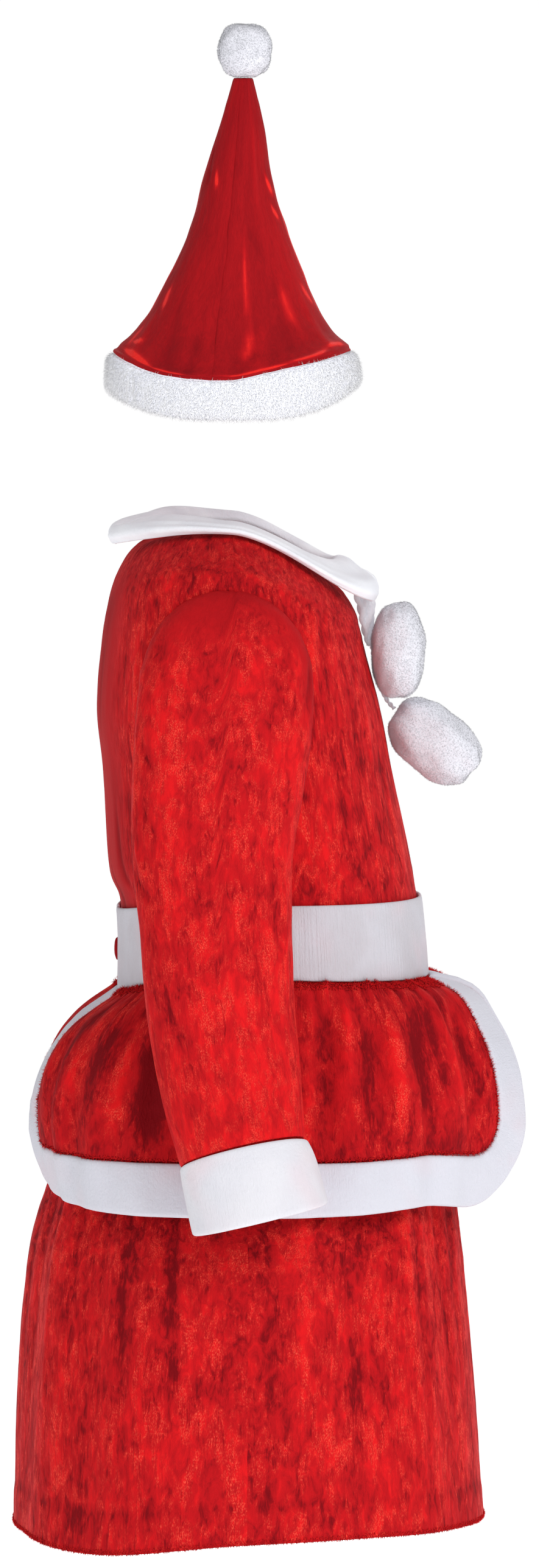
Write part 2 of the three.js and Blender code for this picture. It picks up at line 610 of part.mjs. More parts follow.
function skirtSurface(from, to) {
  const even = panel(skirt, { from, to, folds: skirtFolds });
  return (u, v) => {
    const angle = THREE.MathUtils.lerp(from, to, u);
    const offDip = (Math.min(Math.abs(angle), 360 - angle) - HEM_DIP_ANGLE) / HEM_DIP_WIDTH;
    const dip = HEM_DIP * Math.exp(-(offDip ** 2)) * v ** 4;
    return even(u, v).sub(new THREE.Vector3(0, 0, dip));
  };
}

const skirtSteps = { uSteps: 24, vSteps: skirt.rows.length - 1 };
const skirtPanel = (from, to) => wall(skirtSurface(from, to), { ...skirtSteps, thickness: VELOUR });

const HAT_SEAM = -100;         // the seam on the wearer's right; the other is opposite

hat.middleAt = (place) => THREE.MathUtils.lerp(hatMiddleAtTip, hat.middle, Math.min(1, place * 1.6));
const hatPanel = (from, to) => wall(
  panel(hat, { from, to }),
  { uSteps: 10, vSteps: hat.rows.length - 1, thickness: HAT_VELOUR },
);
const hatBandRing = wall(
  closed((u, v) => onRings(hatBand, v, 360 * u)),
  { uSteps: 24, vSteps: 3, thickness: FUR },
);

// ---- Pompons, knot and cord --------------------------------------------------------------

function ball({ x, y, z, long, wide, high, lean }, { detail = 1, fullness = 2 } = {}) {
  const geometry = new THREE.IcosahedronGeometry(1, detail);
  geometry.deleteAttribute('normal');
  geometry.deleteAttribute('uv');
  const merged = mergeVertices(geometry);
  const corners = merged.getAttribute('position');
  const corner = new THREE.Vector3();
  for (let i = 0; i < corners.count; i += 1) {
    corner.fromBufferAttribute(corners, i);
    const powers = corner.toArray().map((part) => Math.abs(part) ** fullness);
    const sum = powers[0] + powers[1] + powers[2];
    corner.multiplyScalar(sum ** (-1 / fullness));
    corners.setXYZ(i, corner.x, corner.y, corner.z);
  }
  merged.scale(long, wide, high);
  merged.rotateY(lean);
  merged.translate(x, y, z);
  return merged;
}

function cord(points) {
  const path = new THREE.CatmullRomCurve3(points.map((point) => new THREE.Vector3(...point)));
  const section = new THREE.Shape();
  section.absarc(0, 0, CORD_DIAMETER / 2, 0, 2 * Math.PI);
  const steps = Math.max(3, Math.round(path.getLength() / (2.5 * CORD_DIAMETER)));
  return new THREE.ExtrudeGeometry(section, { extrudePath: path, steps, curveSegments: 4 });
}

// ---- All of it -------------------------------------------------------------------------

const costume = new THREE.Group();

function add(name, geometry, colour, roughness) {
  const material = new THREE.MeshStandardMaterial({ color: colour, roughness, metalness: 0 });
  const mesh = new THREE.Mesh(geometry, material);
  mesh.name = name;
  costume.add(mesh);
}

const VELOUR_ROUGHNESS = 0.55;
const FLEECE_ROUGHNESS = 0.95;

add('bodice_front', bodicePanel(-90, 90, 18), colours.velour, VELOUR_ROUGHNESS);
add('bodice_back_right', bodicePanel(-180, -90, 9), colours.velour, VELOUR_ROUGHNESS);
add('bodice_back_left', bodicePanel(90, 180, 9), colours.velour, VELOUR_ROUGHNESS);
add('skirt_front', skirtPanel(-90, 90), colours.velour, VELOUR_ROUGHNESS);
add('skirt_back', skirtPanel(90, 270), colours.velour, VELOUR_ROUGHNESS);
const beltSteps = { uSteps: 36, vSteps: 2 };
add('belt', wall(beltSurface, { ...beltSteps, thickness: BELT_THICKNESS }), colours.fleece, FLEECE_ROUGHNESS);
add('back_tab', ball(backTab), colours.velour, VELOUR_ROUGHNESS);

const bothSides = {
  sleeve: [sleeveRight, colours.velour, VELOUR_ROUGHNESS],
  cuff: [cuffRight, colours.fleece, FLEECE_ROUGHNESS],
  collar: [collarRight, colours.fleece, FLEECE_ROUGHNESS],
  peplum: [peplumRight, colours.velour, VELOUR_ROUGHNESS],
  peplum_trim: [trimRight, colours.fleece, FLEECE_ROUGHNESS],
};
for (const [name, [geometry, colour, roughness]] of Object.entries(bothSides)) {
  add(`${name}_right`, geometry, colour, roughness);
  add(`${name}_left`, mirrored(geometry), colour, roughness);
}

add('tie_knot', ball(tieKnot), colours.cord, FLEECE_ROUGHNESS);
add('pom_cord', cord(pomCord), colours.cord, FLEECE_ROUGHNESS);
for (const [name, sizes] of Object.entries(pompons)) {
  add(name, ball(sizes, { detail: 2, fullness: POMPON_FULLNESS }), colours.fur, FLEECE_ROUGHNESS);
}

add('hat_front', hatPanel(HAT_SEAM, HAT_SEAM + 180), colours.hatVelour, VELOUR_ROUGHNESS);
add('hat_back', hatPanel(HAT_SEAM + 180, HAT_SEAM + 360), colours.hatVelour, VELOUR_ROUGHNESS);
add('hat_band', hatBandRing, colours.fur, FLEECE_ROUGHNESS);

export default costume;
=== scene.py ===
"""A baby's Christmas costume as it is worn: a crushed red velour dress with white fleece
collar, belt, cuffs and peplum trim, two pompons on cords at the throat, and a pointed hat.

Sizes in the tables are millimetres; every mesh is made in metres in the frame of the part.
The wearer faces +X, the wearer's right is -Y, and the origin is the middle of the neck."""
import math

import bpy
import numpy as np
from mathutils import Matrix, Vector, noise
from mathutils.bvhtree import BVHTree


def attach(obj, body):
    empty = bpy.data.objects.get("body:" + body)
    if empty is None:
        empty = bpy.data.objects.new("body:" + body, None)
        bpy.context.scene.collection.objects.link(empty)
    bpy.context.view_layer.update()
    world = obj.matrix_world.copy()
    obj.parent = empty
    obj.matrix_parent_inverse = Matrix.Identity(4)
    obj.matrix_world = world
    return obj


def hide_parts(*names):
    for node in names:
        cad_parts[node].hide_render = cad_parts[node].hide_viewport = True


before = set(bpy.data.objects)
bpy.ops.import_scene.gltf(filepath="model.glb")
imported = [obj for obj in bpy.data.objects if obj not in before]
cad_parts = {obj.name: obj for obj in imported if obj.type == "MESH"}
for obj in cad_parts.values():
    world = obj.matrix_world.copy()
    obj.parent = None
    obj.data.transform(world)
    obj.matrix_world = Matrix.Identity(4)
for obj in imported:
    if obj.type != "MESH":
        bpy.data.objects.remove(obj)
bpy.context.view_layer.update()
MM = 0.001

# ---- Camera ----------------------------------------------------------------------------

CAMERA_DISTANCE = 10.0
CAMERA_ELEVATION = math.radians(3.5)
SEEN_HEIGHT = 0.7728            # metres from the frame's top to its bottom, at the costume
AIM = (0.01275, 0.0, -0.1224)
SENSOR = 36.0


def in_scene(name, data):
    """An object of that name in the scene, at the origin."""
    thing = bpy.data.objects.new(name, data)
    bpy.context.scene.collection.objects.link(thing)
    return thing


def make_camera():
    data = bpy.data.cameras.new("camera")
    data.sensor_width = SENSOR
    data.lens = SENSOR * CAMERA_DISTANCE / SEEN_HEIGHT
    data.clip_end = 200
    camera = in_scene("camera", data)
    back = CAMERA_DISTANCE * math.cos(CAMERA_ELEVATION)
    up = CAMERA_DISTANCE * math.sin(CAMERA_ELEVATION)
    camera.location = (AIM[0], AIM[1] - back, AIM[2] + up)
    camera.rotation_euler = (math.pi / 2 - CAMERA_ELEVATION, 0, 0)
    bpy.context.scene.camera = camera


make_camera()

# ---- Sections of the costume -----------------------------------------------------------


def table(columns, *rows):
    """Rows that start with their name, as one array for each named column."""
    found = {name: np.array([row[k + 1] for row in rows], float)
             for k, name in enumerate(columns.split())}
    found["rows"] = [row[0] for row in rows]
    return found


RING = "back front half z_back z_side z_front"
body = table(
    RING,
    ("neck", -41, 43, 45, -1, 4, -22),
    ("yoke", -53, 50.5, 66, -5, 2.5, -30),
    ("shoulder", -61.2, 55, 89, -16, -7, -38),
    ("tip", -66.3, 57.5, 103.5, -31, -17.5, -47),
    ("cap", -69.8, 60.5, 109, -52, -44, -60),
    ("chest", -72.2, 67, 108, -84, -82, -84),
    ("ribs", -69.2, 73, 104.5, -115, -115, -115),
    ("low", -66.2, 80.5, 100, -162, -150, -151),
    ("nip", -60.2, 85, 97.2, -182, -176, -177),
    ("waist", -59.4, 88.6, 96.2, -224, -213, -217),
)
body.update(middle=-5, squareness=2.3)
skirt = table(
    RING,
    ("waist", -58.6, 88, 95.6, -224.4, -213.4, -217.4),
    ("gather", -72, 94, 100, -246, -238, -240),
    ("hip", -86, 99.5, 104.5, -284, -278, -280),
    ("under", -96.5, 104, 111, -318, -318, -320),
    ("thigh", -106, 108, 126, -352, -354, -354),
    ("middle", -111.5, 113.5, 136, -412, -414, -414),
    ("hem", -113.5, 118.3, 141, -485.5, -483, -483.5),
)
skirt.update(middle=2, squareness=2.3)
TUBE = "y_out z_out y_in z_in back front rise"
sleeve = table(
    TUBE,
    ("inside", 86, -25, 86, -106, -49, 33, 0),
    ("armhole", 109, -22, 105, -113, -50, 34, 0),
    ("cap", 125, -38, 107.5, -124, -52, 34, 0),
    ("upper", 137, -68, 107.5, -134, -53.5, 32, 0),
    ("bicep", 145, -103, 107.5, -147, -54.5, 28, 0),
    ("elbow", 151, -140, 108.5, -164, -54, 24, 0),
    ("fore", 157, -178, 112, -192, -50.5, 23.7, 0),
    ("lower", 162.5, -215, 118, -226, -47.5, 24.5, 1),
    ("narrow", 169, -252, 126, -262, -41, 28, 4),
    ("wrist", 176, -287, 134.5, -297.5, -30.5, 30, 7),
)
cuff = table(
    TUBE,
    ("top", 177.5, -287.6, 133.4, -298.1, -31, 31, 7),
    ("turn", 180, -301, 134, -307.5, -29, 36, 7.6),
    ("bottom", 184, -324.3, 139, -324.8, -24.5, 41.4, 8),
)
peplum_lines = table(
    "angle x y z puff spring sag",
    ("back edge", -178, -100, -10, -318, 0.85, 0, 0.3),
    ("back", -160, -93, -45, -321, 1, 0, 0),
    ("back side", -140, -84, -82, -324, 0.9, 0, 0),
    ("behind arm", -120, -62, -112, -326, 0.5, 0, 0),
    ("arm back", -99, -22, -123, -327, 0.15, 0, 0),
    ("arm front", -78, 24, -124, -327, 0.15, 0, 0),
    ("before arm", -58, 63, -113, -326, 0.4, 0, 0),
    ("front side", -39, 91, -90, -324, 0.8, 0.12, 0),
    ("front", -20, 112, -58, -327, 1, 0.24, 0),
    ("front edge", -3, 133, -30, -327, 0.85, 0.27, 0),
)
peplum_puff = table(
    "out",
    ("waist", 0), ("1/8", 0.6), ("2/8", 0.95), ("3/8", 1.13), ("half", 1.21),
    ("5/8", 1.22), ("6/8", 1.18), ("7/8", 1.1), ("foot", 1),
)
# Each fold: its place round the form, its width, its depth, and where down it sets in and
# goes weak.
peplum_folds = [
    (0.075, 0.026, 1.5, 0, 0.8), (0.16, 0.022, 4, 0, 0.9), (0.235, 0.028, 6, 0, 1),
    (0.325, 0.024, 4, 0, 0.85), (0.6, 0.03, 3, 0, 0.9), (0.69, 0.026, 4, 0, 0.8),
    (0.785, 0.03, 5, 0, 1), (0.87, 0.024, 4, 0, 0.75),
]
skirt_folds = [
    (0.03, 0.022, 3.5, 0.25, 1), (0.1, 0.026, 5, 0.3, 1), (0.185, 0.022, 3.5, 0.2, 0.9),
    (0.26, 0.03, 5, 0.3, 1), (0.36, 0.024, 4, 0.3, 1), (0.45, 0.028, 5, 0.2, 1),
    (0.55, 0.024, 4, 0.3, 1), (0.63, 0.028, 5, 0.3, 1), (0.74, 0.024, 4, 0.3, 1),
    (0.83, 0.028, 5, 0.2, 1), (0.92, 0.022, 3.5, 0.3, 0.9),
]
collar_profile = table(
    "out up",
    ("seam", 0.6, 0.5), ("stand", -0.6, 6.5), ("roll", 3, 11.6), ("top", 9.5, 12.6),
    ("fall", 16, 10.4), ("low", 22, 9.4), ("lip", 25.8, 5.2), ("edge", 25.4, -0.6),
)
collar_lay = table(
    "high reach droop",
    ("back", 0.85, 1, 2), ("back side", 0.85, 1, 1), ("shoulder", 0.48, 1, 0),
    ("front side", 0.6, 1, 10), ("front", 1.2, 0.9, 8.6),
)
hat = table(
    RING + " bend",
    ("tip", -4.8, 4.4, 4.6, 225.6, 225.6, 225.6, 1),
    ("neck", -11.5, 10, 10.5, 203, 203, 203, 1),
    ("slim", -19.5, 13.8, 16, 177, 177, 177, 1),
    ("upper", -26.4, 20.8, 22, 151, 150, 152, 1),
    ("swell", -38.2, 30.9, 31, 126, 123, 126, 1),
    ("flare", -50.6, 41, 41.5, 105, 99, 105, 1),
    ("crown", -60.5, 50.2, 51, 94.5, 83.5, 95.5, 1),
    ("bottom", -64.4, 53, 54, 91, 79.2, 92, 1),
)
hat.update(middle=-5, middle_at_tip=0, squareness=2.05)
hat_band = table(
    RING + " bend",
    ("top", -67.1, 55.7, 56.9, 91.2, 79.4, 92.2, 1),
    ("upper", -69.6, 58.5, 59.3, 86, 74, 87.5, 1.4),
    ("lower", -70, 60, 60, 75, 63, 79, 2.4),
    ("bottom", -68.4, 58.8, 58.6, 70, 58.6, 74, 3),
)
hat_band.update(middle=-5, squareness=2.05)

SEAM_GAP = 0.3                  # between the belt's foot and the top of the peplum
SEAM_LAP = 0.35                 # how far the edges of two panels lap over one another
VELOUR = 1.5
VELOUR_EDGE = 1.6               # how far in an edge's rounding reaches
FLEECE_EDGE = 1.7
BELT_THICKNESS = 2
CUFF_THICKNESS = 3
HAT_VELVET = 1.3
BAND_THICKNESS = 2.4
BELT_CLEARANCE = 0.8            # the belt lies this far off the bodice
BACK_SLIT = 3.5                 # half the gap between the belt's ends at the back
COLLAR_THICKNESS = 3
TRIM_THICKNESS = 3.6
TRIM_WIDTH = 25
TRIM_CORNER = 42                # how round the peplum's lower corners are
TRIM_LIFT = 0.9                 # the trim stands out this far from the red cloth's outside
TRIM_SEAM = 0.8                 # between the red cloth and the trim
PEPLUM_LENGTH = 342
PEPLUM_DROP = 108
PEPLUM_OFF_WAIST = 3.2          # its seam lies this far off the bodice
SPRING_AT = 0.05                # how far down the peplum springs out of its seam most
CORD_DIAMETER = 2.4
FRONT_BEND = 1.3                # how a ring's height changes from its side to its front
BACK_BEND = 3                   # and from its side to its back
HEM_DIP = 9                     # the hem hangs lower behind each arm
HEM_DIP_ANGLE = 128
HEM_DIP_WIDTH = 34
HAT_SEAM = -100                 # angle of the hat's seam on the wearer's right
HAT_STRAIGHT = 1.6              # how soon below its tip the hat's middle is its ring's own

# ---- Tools for cloth -------------------------------------------------------------------


def read(t, column, place):
    """One column of a table, read smoothly between its rows; place runs from 0 to 1."""
    values = t[column]
    last = len(values) - 1
    along = np.clip(place, 0, 1) * last
    i = np.minimum(np.floor(along).astype(int), last - 1)
    f = along - i
    here = values[i]
    after = values[i + 1]
    before = np.where(i > 0, values[np.maximum(i - 1, 0)], 2 * here - after)
    beyond = np.where(i + 2 <= last, values[np.minimum(i + 2, last)], 2 * after - here)
    start_slope = (after - before) / 2
    end_slope = (beyond - here) / 2
    rest = 1 - f
    return (here * (1 + 2 * f) * rest ** 2 + start_slope * f * rest ** 2
            + after * (3 - 2 * f) * f ** 2 - end_slope * f ** 2 * rest)


def place_of(t, name):
    return t["rows"].index(name) / (len(t["rows"]) - 1)


def ease(x, low, high):
    """0 below low, 1 above high and smooth between."""
    t = np.clip((x - low) / (high - low), 0, 1)
    return t * t * (3 - 2 * t)


def bell(x, middle, width):
    """1 in the middle, less than half a width away, and next to nothing two widths away."""
    return np.exp(-((x - middle) / width) ** 2)


def rounding(radius, into):
    """How far a corner of that radius has rounded away, that far into it."""
    return radius - np.sqrt(radius ** 2 - into ** 2)


def points(x, y, z):
    return np.stack(np.broadcast_arrays(x, y, z), axis=-1).astype(float)


def fold_depth(folds, place, down):
    total = np.zeros(np.broadcast(place, down).shape)
    for middle, width, depth, start, end in folds:
        fade = ease(down, start, start + 0.3) * (1 - 0.7 * ease(down, end - 0.35, end + 0.15))
        total = total + depth * bell(place, middle, width) * fade
    return total


def on_rings(form, place, angle):
    """A point on a lofted form: angle 0 is the front, +90 degrees the wearer's left."""
    forward = np.cos(np.radians(angle))
    sideways = np.sin(np.radians(angle))
    ahead = forward >= 0
    size = np.abs(forward)
    power = 2 / form["squareness"]
    middle = form["middle"]
    if "middle_at_tip" in form:
        share = np.minimum(1, place * HAT_STRAIGHT)
        middle = form["middle_at_tip"] * (1 - share) + middle * share
    end = np.where(ahead, read(form, "front", place), read(form, "back", place))
    x = middle + (end - middle) * size ** power
    y = read(form, "half", place) * np.sign(sideways) * np.abs(sideways) ** power
    side = read(form, "z_side", place)
    end = np.where(ahead, read(form, "z_front", place), read(form, "z_back", place))
    front_bend = read(form, "bend", place) if "bend" in form else FRONT_BEND
    bend = np.where(ahead, front_bend, BACK_BEND)
    return points(x, y, side + (end - side) * size ** bend)


def unit(v):
    return v / np.maximum(np.linalg.norm(v, axis=-1, keepdims=True), 1e-12)


def way_out(surface, u, v, loop=False):
    """The way out of surface(u, v) at those places; round a loop u may pass 0 and 1."""
    nudge = 1e-3
    low = u - nudge if loop else np.maximum(u - nudge, 0)
    high = u + nudge if loop else np.minimum(u + nudge, 1)
    along = surface(high, v) - surface(low, v)
    down = surface(u, np.minimum(v + nudge, 1)) - surface(u, np.maximum(v - nudge, 0))
    return unit(np.cross(down, along))


def grid_normals(p, loop):
    """The way out at each point of a grid whose columns run right and rows run down."""
    if loop:
        along = np.roll(p, -1, axis=1) - np.roll(p, 1, axis=1)
    else:
        along = np.gradient(p, axis=1)
    return unit(np.cross(np.gradient(p, axis=0), along))


CLOSE_TO_EDGE = (0.07, 0.3, 0.8, 1.6)


def places(count, length, rounded=True):
    """Even places from 0 to 1 along a length, with a few more by both ends if they are
    rounded."""
    even = np.linspace(0, 1, count + 1)
    if not rounded:
        return even
    close = np.array(CLOSE_TO_EDGE) / length
    close = close[close < 0.6 / count]
    return np.unique(np.concatenate([even, close, 1 - close]))


LUMP_ROWS = 256                 # after so many lumps the same ones come again
LUMP_COLUMNS = 512


def lumps(u, v, cell_u, cell_v, seed, wrap=None):
    """Smooth random relief from -1 to 1 on lengths u and v; wrap is the length of a loop."""
    across = max(4, round(wrap / cell_u)) if wrap else LUMP_COLUMNS
    cell_u = wrap / across if wrap else cell_u
    random = np.random.default_rng(seed).uniform(-1, 1, (LUMP_ROWS, across))
    a = u / cell_u
    b = v / cell_v
    i = np.floor(a).astype(int)
    j = np.floor(b).astype(int)
    s = (a - i) ** 2 * (3 - 2 * (a - i))
    t = (b - j) ** 2 * (3 - 2 * (b - j))
    at = lambda m, n: random[np.mod(m, LUMP_ROWS), np.mod(n, across)]
    top = at(j, i) * (1 - s) + at(j, i + 1) * s
    low = at(j + 1, i) * (1 - s) + at(j + 1, i + 1) * s
    return top * (1 - t) + low * t


def creases(rows, u, v, wrap=None):
    """Soft ridges and troughs. Each row is a crease: across and down to where it starts and
    to where it ends, how far it bows sideways, its width and its depth, below 0 in a trough."""
    relief = np.zeros(np.broadcast(u, v).shape)
    for u0, v0, u1, v1, bow, width, depth in rows:
        length = math.hypot(u1 - u0, v1 - v0)
        du = (u1 - u0) / length
        dv = (v1 - v0) / length
        off = u - u0
        if wrap:
            off = np.mod(off + wrap / 2, wrap) - wrap / 2
        along = (off * du + (v - v0) * dv) / length
        aside = -off * dv + (v - v0) * du
        inside = np.clip(along, 0, 1)
        aside = aside - 4 * bow * inside * (1 - inside)
        past = (along - inside) * length
        taper = ease(inside, 0, 0.3) * ease(1 - inside, 0, 0.35)
        reach = np.exp(-(aside / (width * (0.55 + 0.45 * taper))) ** 2 - (past / width) ** 2)
        relief = relief + depth * reach * (0.15 + 0.85 * taper)
    return relief


# ---- Making meshes ---------------------------------------------------------------------


def smooth_piece(mesh):
    """The object of a mesh, smooth and in the scene."""
    mesh.polygons.foreach_set("use_smooth", np.ones(len(mesh.polygons), bool))
    piece = in_scene(mesh.name, mesh)
    return piece


def new_piece(name, verts, faces, material, slot, uvs=None, attributes=None):
    """A mesh piece in metres from millimetres, smooth, with its own UV map and attributes."""
    mesh = bpy.data.meshes.new(name)
    mesh.from_pydata((np.asarray(verts) * MM).tolist(), [], faces)
    if uvs is not None:
        layer = mesh.uv_layers.new(name="cloth")
        layer.data.foreach_set("uv", np.asarray(uvs, float).ravel())
    for key, values in (attributes or {}).items():
        layer = mesh.attributes.new(key, "FLOAT", "POINT")
        layer.data.foreach_set("value", np.asarray(values, float).ravel())
    mesh.update()
    mesh.materials.append(material)
    return smooth_piece(mesh)


def tube_faces(rings, around):
    """The faces of a tube of rings of points, with one more point for each end's cap."""
    at = lambda j, i: j * around + i % around
    last = rings - 1
    faces = [(at(j, i), at(j, i + 1), at(j + 1, i + 1), at(j + 1, i))
             for j in range(last) for i in range(around)]
    faces += [(rings * around, at(0, i + 1), at(0, i)) for i in range(around)]
    faces += [(rings * around + 1, at(last, i), at(last, i + 1)) for i in range(around)]
    return faces


def corners(grid_of_points, loop):
    """What is at the four corners of each square of a grid."""
    right = np.roll(grid_of_points, -1, axis=1) if loop else grid_of_points[:, 1:]
    left = grid_of_points if loop else grid_of_points[:, :-1]
    return np.stack([left[:-1], left[1:], right[:-1], right[1:]])


def edge_distance(p, loop):
    """How far each point of a grid is from the nearest of its open edges."""
    down = np.linalg.norm(np.diff(p, axis=0), axis=-1)
    down = np.concatenate([np.zeros((1, p.shape[1])), np.cumsum(down, axis=0)])
    far = np.minimum(down, down[-1] - down)
    if not loop:
        across = np.linalg.norm(np.diff(p, axis=1), axis=-1)
        across = np.concatenate([np.zeros((p.shape[0], 1)), np.cumsum(across, axis=1)], axis=1)
        far = np.minimum(far, np.minimum(across, across[:, -1:] - across))
    return far


THINNINGS = 6


def within(keep, loop, columns):
    """Which points of a grid have cloth in all four squares round them. Squares of cloth
    with no such point are taken off keep."""
    for _ in range(THINNINGS):
        round_it = np.zeros((keep.shape[0] + 2, keep.shape[1] + 2), bool)
        round_it[1:-1, 1:-1] = keep
        if loop:
            round_it[:, 0] = round_it[:, -2]
            round_it[:, -1] = round_it[:, 1]
        inner = round_it[:-1, :-1] & round_it[1:, :-1] & round_it[:-1, 1:] & round_it[1:, 1:]
        inner = inner[:, :columns]
        thick = corners(inner, loop).any(axis=0)
        if (thick | ~keep).all():
            break
        keep &= thick
    return inner


HOLE_EDGE = 6                   # only points this near to a hole are moved to its edge
LEAST_FULLNESS = 0.05           # share of its thickness that a cloth keeps by its edge


def cut_out(outer, hole, loop):
    """A grid with the points by its hole moved to the hole's edge, the squares of it that
    are cloth, the points with cloth all round them, how far each point is from an open
    edge, and which points were moved."""
    rows, columns = outer.shape[:2]
    far = edge_distance(outer, loop)
    if not hole:
        keep = np.ones((rows - 1, columns if loop else columns - 1), bool)
        return outer, keep, within(keep, loop, columns), far, np.zeros((rows, columns), bool)
    off, seam = hole(outer)
    keep = corners(off > 0, loop).all(axis=0)
    inner = within(keep, loop, columns)
    moved = ~inner & (off < HOLE_EDGE)
    far = np.where(moved, 0, np.minimum(far, np.maximum(off, 0)))
    return np.where(moved[..., None], seam, outer), keep, inner, far, moved


def shell_faces(keep, inner, at_u, at_v):
    """The faces of both sides of a cloth, which share the points of its edges, and where
    their corners are on its map."""
    front = np.arange(inner.size).reshape(inner.shape)
    rear = np.where(inner, front + inner.size, front)
    j, i = np.nonzero(keep)
    k = (i + 1) % inner.shape[1]
    front, rear = (np.stack([ids[j, i], ids[j + 1, i], ids[j + 1, k], ids[j, k]], 1)
                   for ids in (front, rear))
    corner = np.stack([np.stack([at_u[i + right], at_v[j + lower]], 1)
                       for right, lower in ((0, 0), (0, 1), (1, 1), (1, 0))], 1)
    return (np.concatenate([front, rear[:, ::-1]]),
            np.concatenate([corner, corner[:, ::-1]]))


def cloth(name, surface, size, columns, rows, thickness, edge, relief, material, slot,
          loop=False, hole=None, mirror=False, pile=None, spaced_as=None):
    """A closed shell of cloth under surface(u, v), its outside, with rounded edges.

    size is its width and height in millimetres, and its edges are rounded over the width of
    edge. relief(across, down) gives how far its outside stands out, and for the material its
    painted light and shade with some random mottle, and how calm its pile is. hole(points)
    gives each point's distance from the edge of a hole in it, below 0 inside, and the nearest
    edge point. pile(across, down) says where fibres grow on its outside, from 0 to 1.
    spaced_as is the size that its rows and columns are spaced for, where that isn't size."""
    spaced_wide, spaced_high = spaced_as or size
    us = places(columns, spaced_wide, not loop)
    vs = places(rows, spaced_high)
    u, v = np.meshgrid(us[:-1] if loop else us, vs)
    across = u * size[0]
    down = v * size[1]
    outer = surface(u, v)
    out, light_and_mottle, calm = relief(across, down)
    outer = outer + grid_normals(outer, loop) * out[..., None]
    normal = grid_normals(outer, loop)
    outer, keep, inner, far, moved = cut_out(outer, hole, loop)
    near = np.clip(far / edge, 0, 1)
    fullness = np.sqrt(np.maximum(0, 1 - (1 - near) ** 2))
    fullness = np.where(inner, np.maximum(fullness, LEAST_FULLNESS), 0)[..., None]
    half = thickness / 2
    middle = np.where(moved[..., None], outer, outer - normal * half)
    front = middle + normal * half * fullness
    rear = middle - normal * half * fullness
    verts = np.concatenate([front.reshape(-1, 3), rear.reshape(-1, 3)])
    faces, uvs = shell_faces(keep, inner, us * size[0] * MM, -vs * size[1] * MM)
    if mirror:
        verts = verts * (1, -1, 1)
        faces = faces[:, ::-1]
        uvs = uvs[:, ::-1]
    used = np.unique(faces)
    renumber = np.zeros(len(verts), int)
    renumber[used] = np.arange(len(used))

    def mark(of_front, of_rear=None):
        of_front = np.broadcast_to(of_front, u.shape).ravel()
        return np.concatenate([of_front, of_front if of_rear is None else of_rear])[used]
    # the painted light and shade with its mottle, and the calm, go to the material
    marks = {"light_and_mottle": mark(light_and_mottle), "calm": mark(calm)}
    if pile:
        marks["pile"] = mark(pile(across, down), np.zeros(u.size))
    return new_piece(name, verts[used], renumber[faces].tolist(), material, slot, uvs, marks)


# ---- Materials -------------------------------------------------------------------------


class Nodes:
    """A node tree that is built by adding nodes and joining them."""

    def __init__(self, tree):
        self.tree = tree

    def add(self, kind, options=(), **inputs):
        """A new node. An input goes by its name, or by its place in the list as in _0."""
        node = self.tree.nodes.new(kind)
        for key, value in dict(options).items():
            setattr(node, key, value)
        for key, value in inputs.items():
            name = int(key[1:]) if key[1:].isdigit() else key.replace("_", " ")
            self.put(node.inputs[name], value)
        return node

    def put(self, socket, value):
        if isinstance(value, bpy.types.NodeSocket):
            self.tree.links.new(value, socket)
        else:
            socket.default_value = value

    def reckon(self, how, first, *others):
        """first + second + third and so on, where how is ADD."""
        for other in others:
            first = self.add("ShaderNodeMath", {"operation": how}, _0=first, _1=other).outputs[0]
        return first

    def plus(self, *values):
        return self.reckon("ADD", *values)

    def times(self, *values):
        return self.reckon("MULTIPLY", *values)

    def arrows(self, how, **inputs):
        return self.add("ShaderNodeVectorMath", {"operation": how}, **inputs).outputs[0]


class Look(Nodes):
    """One material of a Principled shader and what feeds it."""

    def __init__(self, name):
        self.material = bpy.data.materials.new(name)
        self.material.use_nodes = True
        super().__init__(self.material.node_tree)
        self.shader = self.tree.nodes["Principled BSDF"]

    def swing(self, value, reach):
        """A value of 0 to 1 about its middle, as one of -reach / 2 to reach / 2."""
        return self.times(self.reckon("SUBTRACT", value, 0.5), reach)

    def cloth_place(self, along_pile=1):
        place = self.add("ShaderNodeUVMap", {"uv_map": "cloth"})
        return self.add("ShaderNodeMapping", Vector=place.outputs[0],
                        Scale=(1, along_pile, 1)).outputs[0]

    def object_place(self):
        return self.add("ShaderNodeTexCoord").outputs["Object"]

    def mark(self, name, output="Fac"):
        return self.add("ShaderNodeAttribute", {"attribute_name": name}).outputs[output]

    def noise(self, place, scale, detail=2, distortion=0.0, roughness=0.5):
        return self.add("ShaderNodeTexNoise", Vector=place, Scale=scale, Detail=detail,
                        Distortion=distortion, Roughness=roughness).outputs[0]

    def streaks(self, along_pile, *how):
        """Noise that is drawn out along the pile, the more so the lower along_pile is."""
        return self.noise(self.cloth_place(along_pile), *how)

    def between(self, value, low, high, to_low=0.0, to_high=1.0):
        return self.add("ShaderNodeMapRange", {"interpolation_type": "SMOOTHSTEP"},
                        Value=value, From_Min=low, From_Max=high, To_Min=to_low,
                        To_Max=to_high).outputs[0]

    def mix(self, share, a, b):
        return self.add("ShaderNodeMix", {"data_type": "RGBA"}, _0=share, _6=a, _7=b).outputs[2]

    def bump(self, height, distance, strength, **under):
        return self.add("ShaderNodeBump", Height=height, Distance=distance,
                        Strength=strength, **under).outputs[0]

    def finish(self, **inputs):
        for key, value in inputs.items():
            self.put(self.shader.inputs[key.replace("_", " ")], value)
        return self.material


def tint(red, green, blue):
    """A colour from screen values of 0 to 255."""
    straight = [((c / 255 + 0.055) / 1.055) ** 2.4 if c > 10 else c / 255 / 12.92
                for c in (red, green, blue)]
    return (*straight, 1)


